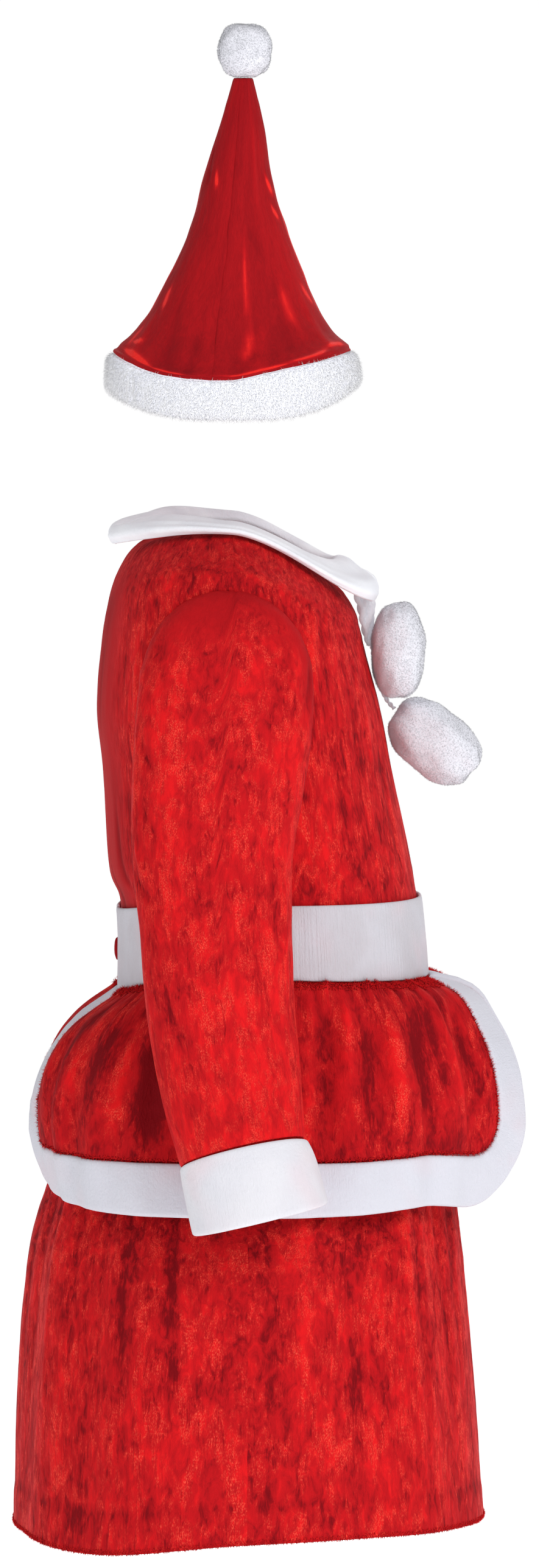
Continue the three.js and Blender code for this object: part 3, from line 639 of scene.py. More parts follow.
BRIGHT_RED = tint(228, 30, 34)
MID_RED = tint(188, 25, 31)
DEEP_RED = tint(126, 18, 25)
GLINT = tint(255, 98, 76)
SHEEN = tint(255, 44, 40)


def crushed_velour(name, patch, contrast, level, lean=0.42, glints=1.0):
    """Velour whose pile is crushed in upright patches: bright where it leans to the light,
    deep where it leans away, with fine streaks along it and clusters of tiny glints.

    patch is a patch's width in metres, and lean below 1 draws it out upright; level from 0
    to 1 is how much of it is bright, and glints how strong they are."""
    look = Look(name)
    upright = look.cloth_place(lean)
    big = look.noise(upright, 1 / (patch * 2.6), 2, 0.3)
    small = look.noise(upright, 1 / (patch * 0.75), 4, 0.7, 0.62)
    crackle = look.streaks(0.3, 460, 3, 0.9, 0.6)
    fine = look.streaks(0.2, 1500, 2, 0.4, 0.6)
    dusty = look.streaks(0.6, 1 / (patch * 1.3), 4, 0.8, 0.6)
    speck = look.streaks(0.6, 2000, 3, 0.4, 0.6)
    calm = look.mark("calm")
    crush = look.plus(look.times(big, 0.4), look.times(small, 0.6))
    grain = look.plus(look.swing(crackle, 1.05), look.swing(fine, 0.4))
    grain = look.times(grain, look.between(dusty, 0.35, 0.6, 0.25, 1.2))
    rough = look.plus(look.swing(crush, contrast * 1.5), grain)
    rough = look.times(rough, look.between(calm, 0, 1, 1, 0))
    # the relief's painted highlights and painted shade lighten and darken the pile here
    lit = look.plus(rough, look.mark("light_and_mottle"), level)
    colour = look.mix(look.between(lit, -0.1, 0.45), DEEP_RED, MID_RED)
    colour = look.mix(look.between(lit, 0.35, 1.0), colour, BRIGHT_RED)
    glint = look.times(
        look.between(speck, 0.46, 0.66), look.between(lit, 0.2, 0.75),
        look.between(dusty, 0.42, 0.62), look.between(calm, 0, 0.7, 1, 0), glints)
    pile = look.bump(fine, 0.0003, 0.5)
    return look.finish(
        Base_Color=look.mix(glint, colour, GLINT), Roughness=look.between(lit, 0.1, 1, 0.68, 0.5),
        Normal=look.bump(rough, 0.0011, 0.55, Normal=pile), Specular_IOR_Level=0.04,
        Specular_Tint=tint(255, 120, 110), Sheen_Weight=0.02, Sheen_Roughness=0.35,
        Sheen_Tint=SHEEN,
    )


def fleece_look(name, ribs, white=tint(228, 227, 233), red_reflection_share=0.35, glow=0.0):
    """Short matte fleece, with upright lines of the knit showing through by ribs, patches
    of painted reflection of the red round it, and glow for the light that a thick pile passes on."""
    look = Look(name)
    place = look.cloth_place()
    clumps = look.noise(place, 420, 3, 0.4)
    soft = look.noise(place, 40, 2, 0.2)
    pink_reflection = look.noise(place, 24, 2, 0.4)
    line = look.streaks(0.03, 900, 2, 0.1)
    nap = look.streaks(0.35, 1600, 2, 0.6)
    colour = look.mix(look.between(soft, 0.25, 0.75, 0.0, 0.5), white, tint(214, 214, 223))
    # pink patches: painted reflection of the red cloth round the fleece
    colour = look.mix(look.between(pink_reflection, 0.5, 0.8, 0.0, red_reflection_share), colour, tint(228, 196, 204))
    lines = look.times(look.between(line, 0.35, 0.65), ribs)
    colour = look.mix(look.times(lines, 0.22), colour, tint(196, 198, 208))
    height = look.plus(nap, look.times(clumps, 0.8), lines)
    return look.finish(
        Base_Color=colour, Roughness=0.95, Normal=look.bump(height, 0.0005, 0.6),
        Specular_IOR_Level=0.12, Sheen_Weight=0.12, Sheen_Roughness=0.6,
        Emission_Color=colour, Emission_Strength=glow,
    )


def pile_look(name, tip, root, scale, softness=0.85, glow=0.3):
    """Loose yarn or fur whose roots are painted darker, as painted shade between its fibres.
    Its fibres are lit mostly as the surface that they stand on, which the attribute "lie"
    keeps, so that they look soft, and glow stands for the light that they pass on to each other."""
    look = Look(name)
    tuft = look.noise(look.object_place(), scale, 3, 0.3)
    fuzz = look.noise(look.object_place(), scale * 9, 3, 0.4)
    share = look.between(look.plus(look.times(tuft, 0.5), look.mark("height")), 0.1, 0.8)
    ground = look.arrows("SCALE", _0=look.mark("lie", "Vector"), Scale=softness / (1 - softness))
    both = look.arrows("ADD", _0=look.bump(fuzz, 0.0006, 0.5), _1=ground)
    # root is a darker colour that paints the shade among the fibres
    colour = look.mix(share, root, tip)
    return look.finish(
        Base_Color=colour, Roughness=0.9, Specular_IOR_Level=0.05,
        Normal=look.arrows("NORMALIZE", _0=both), Emission_Color=colour,
        Emission_Strength=glow,
    )


def hat_velvet_look():
    """Smooth velvet, deep red, with a satin lustre and tiny glints where its painted light is
    high; the relief paints its satin highlights into the colour.
    """
    look = Look("hat velvet")
    broad = look.streaks(0.3, 40, 3, 1.2)
    wisps = look.streaks(0.55, 230, 4, 1.6, 0.65)
    fine = look.streaks(0.2, 1900, 3, 0.3, 0.6)
    speck = look.streaks(1, 2100, 1, 0.0)
    # the relief's painted satin highlights brighten the colour
    lit = look.plus(look.swing(broad, 0.5), look.swing(wisps, 0.5), look.swing(fine, 0.3),
                    look.mark("light_and_mottle"))
    colour = look.mix(look.between(lit, -0.35, 0.45), tint(138, 20, 27), tint(186, 25, 31))
    colour = look.mix(look.between(lit, 0.3, 1.0), colour, tint(240, 40, 38))
    glint = look.times(look.between(speck, 0.58, 0.72), look.between(lit, 0.5, 1.1), 0.8)
    pile = look.bump(fine, 0.0003, 0.4)
    return look.finish(
        Base_Color=look.mix(glint, colour, GLINT), Roughness=look.between(lit, 0.1, 1, 0.6, 0.42),
        Normal=look.bump(wisps, 0.0012, 0.35, Normal=pile), Specular_IOR_Level=0.1,
        Specular_Tint=tint(255, 110, 100), Sheen_Weight=0.03, Sheen_Roughness=0.3,
        Sheen_Tint=SHEEN,
    )


# Each part's level is partly painted light and shade, set to how bright that part stands, and
# partly the crush of its velour.
velour_bodice = crushed_velour("velour bodice", 0.005, 1.8, 0.42, 0.5, 0.7)
velour_sleeve = crushed_velour("velour sleeve", 0.0065, 1.6, 0.62, 0.5, 0.65)
velour_skirt = crushed_velour("velour skirt", 0.006, 1.8, 0.46, 0.68, 0.7)
velour_peplum = crushed_velour("velour peplum", 0.008, 1.3, 0.34, 0.6, 0.8)
velour_plain = crushed_velour("velour plain", 0.004, 0.8, 0.2)
# The belt's and the trim's whites are a little darker, partly as painted shade.
fleece_knit = fleece_look("fleece knit", 0.6, tint(198, 194, 201))
fleece_trim = fleece_look("fleece of the trim", 0.15, tint(214, 214, 224))
fleece_plain = fleece_look("fleece plain", 0.15)
# the collar's brighter white and faint glow are painted light on its upturned faces, which the
# lamps light less
fleece_collar_brightened = fleece_look("fleece of the collar", 0.05, tint(246, 247, 252), 0.0, 0.06)
# each pile's second colour, at its roots, is painted shade among the fibres
fur_look = pile_look("white fur", tint(253, 253, 255), tint(234, 236, 246), 220, 0.9, 0.33)
pompon_look = pile_look("pompon yarn", tint(240, 241, 247), tint(222, 222, 230), 110, 0.85, 0.08)
red_pile = pile_look("red pile", BRIGHT_RED, DEEP_RED, 700, 0.5, 0)
cord_look = pile_look("twisted cord", tint(236, 234, 238), tint(206, 204, 210), 700)
hat_velvet = hat_velvet_look()

# ---- The dress -------------------------------------------------------------------------


def lifted(surface, lift):
    """The surface that lies that far out from another."""
    return lambda u, v: surface(u, v) + way_out(surface, u, v) * lift


def panel(form, start, end, top=0.0, bottom=1.0, folds=None):
    """A panel of a lofted form between two angles; its edges just lap over its neighbours'."""
    def surface(u, v):
        place = top + (bottom - top) * v
        lap = np.degrees(SEAM_LAP / read(form, "half", place))
        angle = start - lap + (end - start + 2 * lap) * u
        p = on_rings(form, place, angle)
        if folds is not None:
            fold = fold_depth(folds, np.mod(angle / 360 + 1, 1), v)
            p = p + unit(points(form["middle"], 0, p[..., 2]) - p) * fold[..., None]
        return p
    return surface


def on_tube(rows, place, angle):
    """A point on a sleeve: angle 0 is away from the body and 90 degrees the front."""
    outside = points(0, -read(rows, "y_out", place), read(rows, "z_out", place))
    inside = points(0, -read(rows, "y_in", place), read(rows, "z_in", place))
    middle = (outside + inside) / 2
    to_outside = outside - middle
    back = read(rows, "back", place)
    front = read(rows, "front", place)
    middle = middle + points((back + front) / 2, 0, 0)
    to_front = points((front - back) / 2, 0, read(rows, "rise", place))
    turned = np.radians(angle)
    return middle + to_outside * np.cos(turned)[..., None] + to_front * np.sin(turned)[..., None]


UNDER_ARM = 180                 # angle of the sleeve's side towards the body
DEEPEST_SEAM = 0.45             # the armhole's seam isn't further down the sleeve than this
HALVINGS = 18
FAR_RIGHT = -400
SLEEVE_TUCK = 0.012             # share of the sleeve that is sewn in, inside the armhole
ARMHOLE_INSET = 2.6             # how far the bodice runs on inside the sleeve
ARM_SIDE = 60                   # points nearer to the middle of the body are off the armhole
FAR_OFF = 1e6


def armhole_seam(count=144):
    """Where the right sleeve comes out of the bodice: its place down the sleeve for each
    angle round it, found by halving, and the seam's own points."""
    u, v = np.meshgrid(np.linspace(-0.75, -0.25, 61), np.linspace(0, 1, 91))
    side = on_rings(body, v, 360 * u)
    rows, columns = u.shape
    faces = [(j * columns + i, (j + 1) * columns + i, (j + 1) * columns + i + 1,
              j * columns + i + 1) for j in range(rows - 1) for i in range(columns - 1)]
    tree = BVHTree.FromPolygons([Vector(p) for p in side.reshape(-1, 3)], faces)
    angles = np.linspace(0, 360, count, endpoint=False) + UNDER_ARM
    low = np.zeros(count)
    high = np.full(count, DEEPEST_SEAM)
    for _ in range(HALVINGS):
        half = (low + high) / 2
        for k, p in enumerate(on_tube(sleeve, half, angles)):
            hit = tree.ray_cast(Vector((p[0], FAR_RIGHT, p[2])), Vector((0, 1, 0)))[0]
            buried = hit is not None and p[1] > hit.y
            low[k], high[k] = (half[k], high[k]) if buried else (low[k], half[k])
    place = (low + high) / 2
    return place, on_tube(sleeve, place, angles)


seam_place, seam_points = armhole_seam()
seam_inward = unit((seam_points.mean(axis=0) - seam_points) * (1, 0, 1))
armhole_edge = seam_points + seam_inward * ARMHOLE_INSET


def sleeve_surface(u, v):
    turn = np.mod(u, 1) * len(seam_place)
    k = np.floor(turn).astype(int)
    f = turn - k
    start = (seam_place[k % len(seam_place)] * (1 - f)
             + seam_place[(k + 1) % len(seam_place)] * f)
    start = start - SLEEVE_TUCK
    return on_tube(sleeve, start + (1 - start) * v, 360 * u + UNDER_ARM)


def cuff_surface(u, v):
    return on_tube(cuff, v, 360 * u + UNDER_ARM)


def armhole(p):
    """How far points of the bodice are out of the armhole on their side of the body, and the
    nearest points of that armhole's edge."""
    flat = armhole_edge[:, [0, 2]]
    after = np.roll(flat, -1, axis=0)
    q = p[..., [0, 2]].reshape(-1, 1, 2)
    along = np.sum((q - flat) * (after - flat), -1) / np.sum((after - flat) ** 2, -1)
    along = np.clip(along, 0, 1)
    nearest = flat + (after - flat) * along[..., None]
    off = np.linalg.norm(q - nearest, axis=-1)
    k = np.argmin(off, axis=1)
    off = np.take_along_axis(off, k[:, None], 1)[:, 0]
    share = np.take_along_axis(along, k[:, None], 1)
    spot = armhole_edge[k] * (1 - share) + np.roll(armhole_edge, -1, axis=0)[k] * share
    spot = spot.reshape(p.shape) * points(1, np.where(p[..., 1] > 0, -1, 1), 1)
    # a point is inside if a line from it towards the front crosses the edge an odd number
    # of times
    crossing = (flat[:, 1] > q[..., 1]) != (after[:, 1] > q[..., 1])
    rise = np.where(after[:, 1] == flat[:, 1], 1, after[:, 1] - flat[:, 1])
    reach = (after[:, 0] - flat[:, 0]) * (q[..., 1] - flat[:, 1]) / rise + flat[:, 0]
    inside = np.sum(crossing & (q[..., 0] < reach), axis=1) % 2 == 1
    by_arm = np.abs(p[..., 1]) > ARM_SIDE
    off = np.where(inside, -off, off).reshape(p.shape[:-1])
    return np.where(by_arm, off, FAR_OFF), spot


def relief_of(rows, seed, height, cells=(6, 16), wrap=None, gain=0.4):
    """Relief from rows of creases with a fine crumple of that height over it, in lumps of
    the size of cells. Its painted light is a painted highlight on ridges and painted shade in
    troughs, by gain, with a broad random mottle, and its calm is 0."""
    def relief(across, down):
        large = creases(rows, across, down, wrap)
        fine = lumps(across, down, *cells, seed, wrap) * 0.6
        fine = fine + lumps(across, down, cells[0] * 0.45, cells[1] * 0.4, seed + 1, wrap) * 0.4
        broad = lumps(across, down, cells[0] * 4, cells[1] * 2.5, seed + 2, wrap)
        # painted highlight on the ridges and painted shade in the troughs, plus a random mottle
        return large + fine * height, gain * large / 1.5 + 0.12 * broad, 0.0
    return relief


BODICE_FRONT = (280, 215)
BODICE_BACK = (140, 218)
front_creases = [
    (52, 62, 44, 104, 3, 2.6, -0.9), (60, 66, 52, 118, 3, 2.4, 0.7),
    (70, 60, 62, 100, 2, 3.0, -0.8), (56, 120, 60, 168, -2, 3.0, -0.7),
    (82, 110, 80, 150, 2, 2.6, -0.6), (96, 92, 92, 150, -2, 3.4, 0.6),
    (108, 130, 106, 172, 1, 3.0, -0.9), (124, 84, 122, 140, 2, 3.2, -0.6),
    (76, 158, 96, 176, 1, 2.6, -0.6), (118, 40, 108, 70, 2, 3.0, 0.5),
    (226, 62, 236, 108, -3, 2.6, -0.9), (212, 66, 222, 120, -3, 2.6, 0.7),
    (196, 112, 200, 160, 2, 3.0, -0.8), (180, 90, 184, 150, -2, 3.4, 0.6),
    (160, 122, 164, 170, 1, 3.0, -0.8), (150, 60, 152, 110, 1, 3.2, -0.5),
]
back_creases = [
    (86, 70, 92, 120, 2, 2.6, -0.7), (70, 96, 76, 150, -2, 3.0, 0.5),
    (40, 150, 52, 190, 2, 3.0, -0.8), (20, 166, 30, 200, 2, 2.6, -0.7),
    (98, 130, 92, 180, 2, 3.0, -0.6), (24, 90, 22, 130, 1, 3.4, -0.4),
]


def back_shade(relief, side):
    """The back panels are patterned over the shoulder, smooth and dark down the back."""
    def shaded(across, down):
        out, light_and_mottle, _ = relief(across, down)
        from_back = across if side < 0 else BODICE_BACK[0] - across
        turned = ease(down, 34, 72) * (1 - ease(from_back, 36, 72))
        return out, light_and_mottle - 0.16 * turned, 0.85 * turned
    return shaded


def make_bodice():
    front = cloth(
        "bodice_front_cloth", panel(body, -90, 90), BODICE_FRONT, 124, 100, VELOUR,
        VELOUR_EDGE, relief_of(front_creases, 11, 0.32), velour_bodice, "velour",
        hole=armhole)
    backs = []
    for name, side, seed in (("right", -1, 21), ("left", 1, 31)):
        surface = panel(body, -180, -90) if side < 0 else panel(body, 90, 180)
        rows = back_creases
        if side > 0:
            rows = [(BODICE_BACK[0] - a, b, BODICE_BACK[0] - c, d, -bow, w, depth * 0.9)
                    for a, b, c, d, bow, w, depth in back_creases]
        backs.append(cloth(
            f"bodice_back_{name}_cloth", surface, BODICE_BACK, 62, 100, VELOUR, VELOUR_EDGE,
            back_shade(relief_of(rows, seed, 0.24), side), velour_bodice, "velour",
            hole=armhole))
    return front, *backs


SLEEVE = (230, 290)
CUFF = (172, 34)
sleeve_creases = [
    (70, 96, 88, 124, 2, 2.4, -1.1), (78, 92, 97, 122, 2, 2.2, 0.8),
    (74, 134, 92, 158, 1, 2.2, -1.0), (66, 150, 82, 176, 2, 2.2, 0.7),
    (62, 168, 84, 184, 1, 2.2, -1.0), (64, 30, 72, 66, 2, 3.0, 0.8),
    (84, 36, 90, 84, 2, 3.4, -0.8), (150, 52, 146, 98, -2, 3.2, 1.0),
    (162, 40, 158, 92, -2, 2.6, -0.9), (138, 96, 142, 132, 1, 3.0, -0.7),
    (100, 190, 118, 228, 2, 3.2, -0.8), (128, 170, 124, 214, 1, 3.0, 0.7),
    (146, 150, 150, 214, 1, 2.6, -0.9), (156, 160, 160, 236, 1, 2.4, 0.8),
    (110, 232, 140, 246, 2, 2.6, -0.7), (84, 214, 96, 258, 1, 2.8, -0.7),
    (166, 200, 170, 262, 1, 2.4, -1.0), (176, 190, 180, 262, 1, 2.6, 0.8),
    (40, 60, 48, 120, 2, 3.0, -0.8),
    (30, 140, 44, 190, 2, 3.0, -0.8), (200, 70, 206, 130, 2, 3.0, -0.8),
    (210, 160, 204, 220, 2, 3.0, 0.7), (14, 90, 18, 150, 2, 3.0, -0.7),
]
cuff_creases = [(60, 8, 84, 26, 1, 5, -0.6), (120, 6, 128, 30, 1, 5, -0.5)]


def cap_shade(relief):
    """The sleeve's cap is darker and calmer, most of all round its front, where the pile
    turns away."""
    def shaded(across, down):
        out, light_and_mottle, _ = relief(across, down)
        front = bell(across, 168, 17) * (1 - ease(down, 64, 116))
        crown = bell(across, 122, 58) * (1 - ease(down, 34, 78))
        lower = 1 - ease(down, 190, 262)
        calm = np.clip(0.75 * crown + 0.8 * front, 0, 0.8)
        return out, light_and_mottle - 0.34 * front - 0.16 * crown - 0.06 * lower, calm
    return shaded


def make_sleeves():
    made = []
    for name, mirror, seed in (("right", False, 41), ("left", True, 51)):
        rows = sleeve_creases
        if mirror:
            rows = [(a, b + 6, c, d - 4, -bow, w * 1.1, depth * 0.9)
                    for a, b, c, d, bow, w, depth in sleeve_creases]
        relief = cap_shade(relief_of(rows, seed, 0.34, (6, 18), SLEEVE[0]))
        made.append(cloth(
            f"sleeve_{name}_cloth", sleeve_surface, SLEEVE, 100, 118, VELOUR, VELOUR_EDGE,
            relief, velour_sleeve, "velour", loop=True, mirror=mirror))
        crumple = relief_of(cuff_creases, seed + 5, 0.12, (9, 9), CUFF[0])
        made.append(cloth(
            f"cuff_{name}_cloth", cuff_surface, CUFF, 90, 18, CUFF_THICKNESS, FLEECE_EDGE,
            crumple, fleece_plain, "fleece", loop=True, mirror=mirror))
    return made


BELT = (560, 41)
BELT_FOOT = 0.998               # how far down the bodice it reaches


def make_belt():
    slit = math.degrees(BACK_SLIT / (body["middle"] - body["back"][-1]))
    base = panel(body, -180 + slit, 180 - slit, place_of(body, "nip"), BELT_FOOT)
    return cloth(
        "belt_cloth", lifted(base, BELT_CLEARANCE + BELT_THICKNESS), BELT, 200, 18,
        BELT_THICKNESS, 1.4, relief_of([], 61, 0.22, (16, 14)), fleece_knit, "fleece")


COLLAR = (150, 42)
COLLAR_BACK = -177.5            # angles of its two ends round the neck
COLLAR_FRONT = -3
COLLAR_CORNER = 15
COLLAR_RADIUS = 66
LIP = 10                        # width of the rolled lip along the collar's outer edge


def collar_surface(u, v):
    """The right half, from its back end round to its front end, over the roll and down. Its
    two ends round away towards the outer edge."""
    into_corner = np.maximum(v * COLLAR[1] - (COLLAR[1] - COLLAR_CORNER), 0)
    cut_off = np.degrees(rounding(COLLAR_CORNER, into_corner) / COLLAR_RADIUS)
    angle = COLLAR_BACK + cut_off + (COLLAR_FRONT - COLLAR_BACK - 2 * cut_off) * u
    seam = on_rings(body, np.zeros_like(u), angle)
    high, reach, droop = (read(collar_lay, key, 1 + angle / 180)
                          for key in ("high", "reach", "droop"))
    out = read(collar_profile, "out", v)
    low = droop * np.maximum(0, out) / collar_profile["out"][-1]
    up = read(collar_profile, "up", v) * high
    turned = np.radians(angle)
    return seam + points(np.cos(turned) * out * reach, np.sin(turned) * out * reach, up - low)


def collar_relief(seed):
    """A plump lip with a shallow groove above it, which fills up towards the two ends."""
    def relief(across, down):
        from_edge = COLLAR[1] - down
        from_end = np.minimum(across, COLLAR[0] - across)
        inside = ease(from_edge, 0, 3.5) * ease(from_end, 0, 6)
        groove = (1.8 * (1 - ease(from_end, 16, 48)) - 0.8) * bell(from_edge, LIP, 2.6)
        lip = 1.1 * bell(from_edge, LIP * 0.42, 4)
        soft = lumps(across, down, 12, 12, seed) * 0.25
        return (groove + lip + soft) * inside, np.zeros(across.shape), 0.0
    return relief


def make_collar():
    return [cloth(
        f"collar_{name}_cloth", collar_surface, COLLAR, 90, 46, COLLAR_THICKNESS - 0.4,
        FLEECE_EDGE, collar_relief(seed), fleece_collar_brightened, "fleece",
        mirror=mirror) for name, mirror, seed in (("right", False, 71), ("left", True, 76))]


# ---- The peplum ------------------------------------------------------------------------


def waist_ring(u, v):
    return on_rings(body, 0.9 + 0.1 * v, 360 * u)


def peplum_point(place, down):
    """A point of the right half of the peplum; place runs round it from 0 at its back edge
    to 1 at its front edge, and down from 0 at the waist to 1 at the hem."""
    angle = read(peplum_lines, "angle", place)
    at = (angle + 360) / 360
    below = np.ones(np.broadcast(at, down).shape)
    at = at * below
    waist = waist_ring(at, below) + way_out(waist_ring, at, below, True) * PEPLUM_OFF_WAIST
    sunk = np.maximum(down, 0) ** (1 + read(peplum_lines, "sag", place))
    full = read(peplum_puff, "out", sunk)
    puff = read(peplum_lines, "puff", place)
    out = sunk ** 0.8 * (1 - puff) + full * puff
    early = down / SPRING_AT
    out = out + read(peplum_lines, "spring", place) * early * np.exp(1 - early)
    foot = [read(peplum_lines, key, place) for key in "xyz"]
    p = points(waist[..., 0] * (1 - out) + foot[0] * out,
               waist[..., 1] * (1 - out) + foot[1] * out,
               (waist[..., 2] - SEAM_GAP) * (1 - down) + foot[2] * down)
    inward = unit(points(-p[..., 0], -p[..., 1], 0))
    return p + inward * fold_depth(peplum_folds, place, down)[..., None]


EDGE_SHARE = (TRIM_WIDTH + TRIM_SEAM) / PEPLUM_LENGTH
HEM_SHARE = 1 - (TRIM_WIDTH + TRIM_SEAM) / PEPLUM_DROP
INNER_CORNER = TRIM_CORNER - TRIM_WIDTH - TRIM_SEAM


def peplum_surface(u, v):
    """The red cloth of the peplum, inside the trim and its rounded corners."""
    place = EDGE_SHARE + (1 - 2 * EDGE_SHARE) * u
    off_corner = (np.minimum(place, 1 - place) - EDGE_SHARE) * PEPLUM_LENGTH
    short = np.maximum(INNER_CORNER - off_corner, 0)
    return peplum_point(place, v * (HEM_SHARE - rounding(INNER_CORNER, short) / PEPLUM_DROP))


STRAIGHT_DOWN = PEPLUM_DROP - TRIM_CORNER
STRAIGHT_ALONG = PEPLUM_LENGTH - 2 * TRIM_CORNER
CORNER_LENGTH = TRIM_CORNER * math.pi / 2
TRIM_LENGTH = 2 * STRAIGHT_DOWN + STRAIGHT_ALONG + 2 * CORNER_LENGTH


def trim_surface(u, v):
    """Along the strip from the waist at the back to the waist at the front, and across it
    from the red cloth out to the edge."""
    travelled = u * TRIM_LENGTH
    front_half = travelled > TRIM_LENGTH / 2
    t = np.where(front_half, TRIM_LENGTH - travelled, travelled)
    bend = np.clip((t - STRAIGHT_DOWN) / TRIM_CORNER, 0, math.pi / 2)
    past = np.maximum(t - STRAIGHT_DOWN - CORNER_LENGTH, 0)
    along = TRIM_CORNER * (1 - np.cos(bend)) + past
    down = np.minimum(t, STRAIGHT_DOWN) + TRIM_CORNER * np.sin(bend)
    x = np.where(front_half, -np.cos(bend), np.cos(bend))
    along = np.where(front_half, PEPLUM_LENGTH - along, along)
    in_from = TRIM_WIDTH * (1 - v)
    return peplum_point((along + x * in_from) / PEPLUM_LENGTH,
                        (down - np.sin(bend) * in_from) / PEPLUM_DROP)


PEPLUM = (290, 82)
TRIM = (TRIM_LENGTH, TRIM_WIDTH)
TRIM_FLAT = (440, TRIM_WIDTH)   # the strip before it is sewn round the corners
WAIST_GATHERS = [14, 25, 39, 47, 64, 71, 88, 106, 122, 143, 155, 172, 181, 203, 211, 227, 236,
                 251, 263, 277]
peplum_long = [
    (198, 4, 195, 46, 2, 3.2, 1.8), (221, 8, 219, 76, -2, 4.4, 2.0),
    (209, 12, 206, 80, 2, 5.0, -1.5), (186, 8, 182, 70, 2, 6.0, -1.3),
    (240, 6, 243, 74, 2, 6.5, -1.4), (259, 2, 267, 76, 2, 3.2, 1.2),
    (250, 8, 256, 66, 2, 3.0, -1.0), (274, 6, 281, 66, 2, 3.6, -1.1),
    (232, 40, 234, 80, 1, 4.0, 1.0), (176, 44, 170, 80, 2, 4.0, 1.3),
    (168, 10, 164, 66, 2, 5.0, -1.2), (154, 12, 152, 72, 2, 5.0, 1.2),
    (103, 12, 104, 82, 2, 7.5, -3.2), (88, 14, 84, 78, 2, 4.4, 1.8),
    (72, 8, 68, 72, 2, 5.0, -1.4), (58, 4, 48, 66, 3, 4.0, 1.4),
    (44, 8, 34, 64, 3, 4.4, -1.2), (26, 10, 18, 60, 2, 4.0, 1.0),
    (118, 20, 118, 76, 1, 4.4, 1.4), (134, 12, 134, 72, 1, 5.0, -1.2),
]


def peplum_creases(shift):
    """Many small gathers run down from the belt, every one another length and depth, and
    long soft folds go on below them."""
    rows = []
    for k, across in enumerate(WAIST_GATHERS):
        reach = (16, 28, 11, 21, 34, 14, 24)[(k + shift) % 7]
        depth = (-1.0, -0.5, -0.8, -0.4)[(k + shift) % 4]
        lean = (across - 145) / 145 * reach * 0.14
        rows.append((across, -12, across + lean, reach, 0.6, 2.4, depth))
        rows.append((across + 4.4, -10, across + 4.4 + lean, reach * 0.8, 0.4, 2.4, 0.6))
    return rows + [(a + shift, b, c + shift, d, *rest) for a, b, c, d, *rest in peplum_long]


EDGE_PILE = 1.3                 # how wide the frayed pile along a raw edge is


def peplum_relief(shift, seed):
    """The peplum's creases with a ragged ridge where they come out from under the belt."""
    base = relief_of(peplum_creases(shift), seed, 0.4, (8, 10), gain=0.42)

    def relief(across, down):
        out, light_and_mottle, calm = base(across, down)
        ragged = np.maximum(lumps(across, down * 0, 4, 1e4, seed + 9) + 0.2, 0)
        return out + 1.8 * ragged * bell(down, 0, 3), light_and_mottle, calm
    return relief


def peplum_pile(across, down):
    """Thick along the seam under the belt, and thinner where the trim is sewn on."""
    off_side = np.minimum(across, PEPLUM[0] - across)
    sewn = np.minimum(off_side, PEPLUM[1] - down) < EDGE_PILE
    return np.where(down < 2 * EDGE_PILE, 1.0, np.where(sewn, 0.7, 0.0))


def make_peplum():
    made = []
    for name, mirror, seed in (("right", False, 81), ("left", True, 91)):
        shift = 3 if mirror else 0
        made.append(cloth(
            f"peplum_{name}_cloth", peplum_surface, PEPLUM, 170, 54, VELOUR, 1.4,
            peplum_relief(shift, seed), velour_peplum, "velour", mirror=mirror,
            pile=peplum_pile))
        made.append(cloth(
            f"peplum_trim_{name}_cloth", lifted(trim_surface, TRIM_LIFT), TRIM, 180, 16,
            TRIM_THICKNESS, 2.0, relief_of([], seed + 5, 0.4, (11, 14)), fleece_trim,
            "fleece", mirror=mirror, spaced_as=TRIM_FLAT))
    return made


SKIRT = (385, 270)
SKIRT_CREASES = 26
SKIRT_CREASE_STEP = 14.6
HEM_STITCH = 11.5               # the hem's stitches are this far above its edge


def skirt_surface(start):
    """Half of the skirt, from the angle of start on, with its hem's dip behind the arm."""
    even = panel(skirt, start, start + 180, folds=skirt_folds)

    def dipped(u, v):
        angle = np.abs(start + 180 * u)
        dip = HEM_DIP * bell(np.minimum(angle, 360 - angle), HEM_DIP_ANGLE, HEM_DIP_WIDTH)
        return even(u, v) - points(0, 0, dip * v ** 4)
    return dipped


def skirt_relief(seed):
    """Long upright creases, every one another length and depth, and the stitched hem."""
    rows = []
    for k in range(SKIRT_CREASES):
        across = 8 + k * SKIRT_CREASE_STEP + (0, 3, -2, 4, -3)[k % 5]
        top = (40, 10, 70, 25, 55)[(k + seed) % 5]
        bottom = (262, 200, 268, 235, 180, 266)[(k + seed) % 6]
        depth = (-0.9, -1.4, 0.8, -1.1, 1.0, -0.7, -1.3)[(k + seed) % 7]
        rows.append((across, top, across + (3, -4, 2)[k % 3], bottom, (2, -3, 1)[k % 3], 3.6,
                     depth))
    base = relief_of(rows, seed, 0.34, (8, 13))

    def relief(across, down):
        out, light_and_mottle, calm = base(across, down)
        from_hem = SKIRT[1] - down
        stitched = bell(from_hem, HEM_STITCH, 0.8)
        puckers = 0.5 + 0.5 * lumps(across, down * 0, 5, 1e4, seed + 7)
        turned = 0.35 * (1 - ease(from_hem, HEM_STITCH, HEM_STITCH + 1.5))
        out = out - stitched * (0.25 + 0.35 * puckers) + turned
        # the stitched groove is painted darker, as painted shade
        return out, light_and_mottle - 0.18 * stitched, calm
    return relief


def make_skirt():
    return [cloth(
        f"skirt_{name}_cloth", skirt_surface(start), SKIRT, 140, 92, VELOUR, VELOUR_EDGE,
        skirt_relief(seed), velour_skirt, "velour",
        pile=lambda across, down: np.where(down > SKIRT[1] - EDGE_PILE, 1.0, 0.0))
        for name, start, seed in (("front", -90, 101), ("back", 90, 111))]


# ---- The hat ---------------------------------------------------------------------------

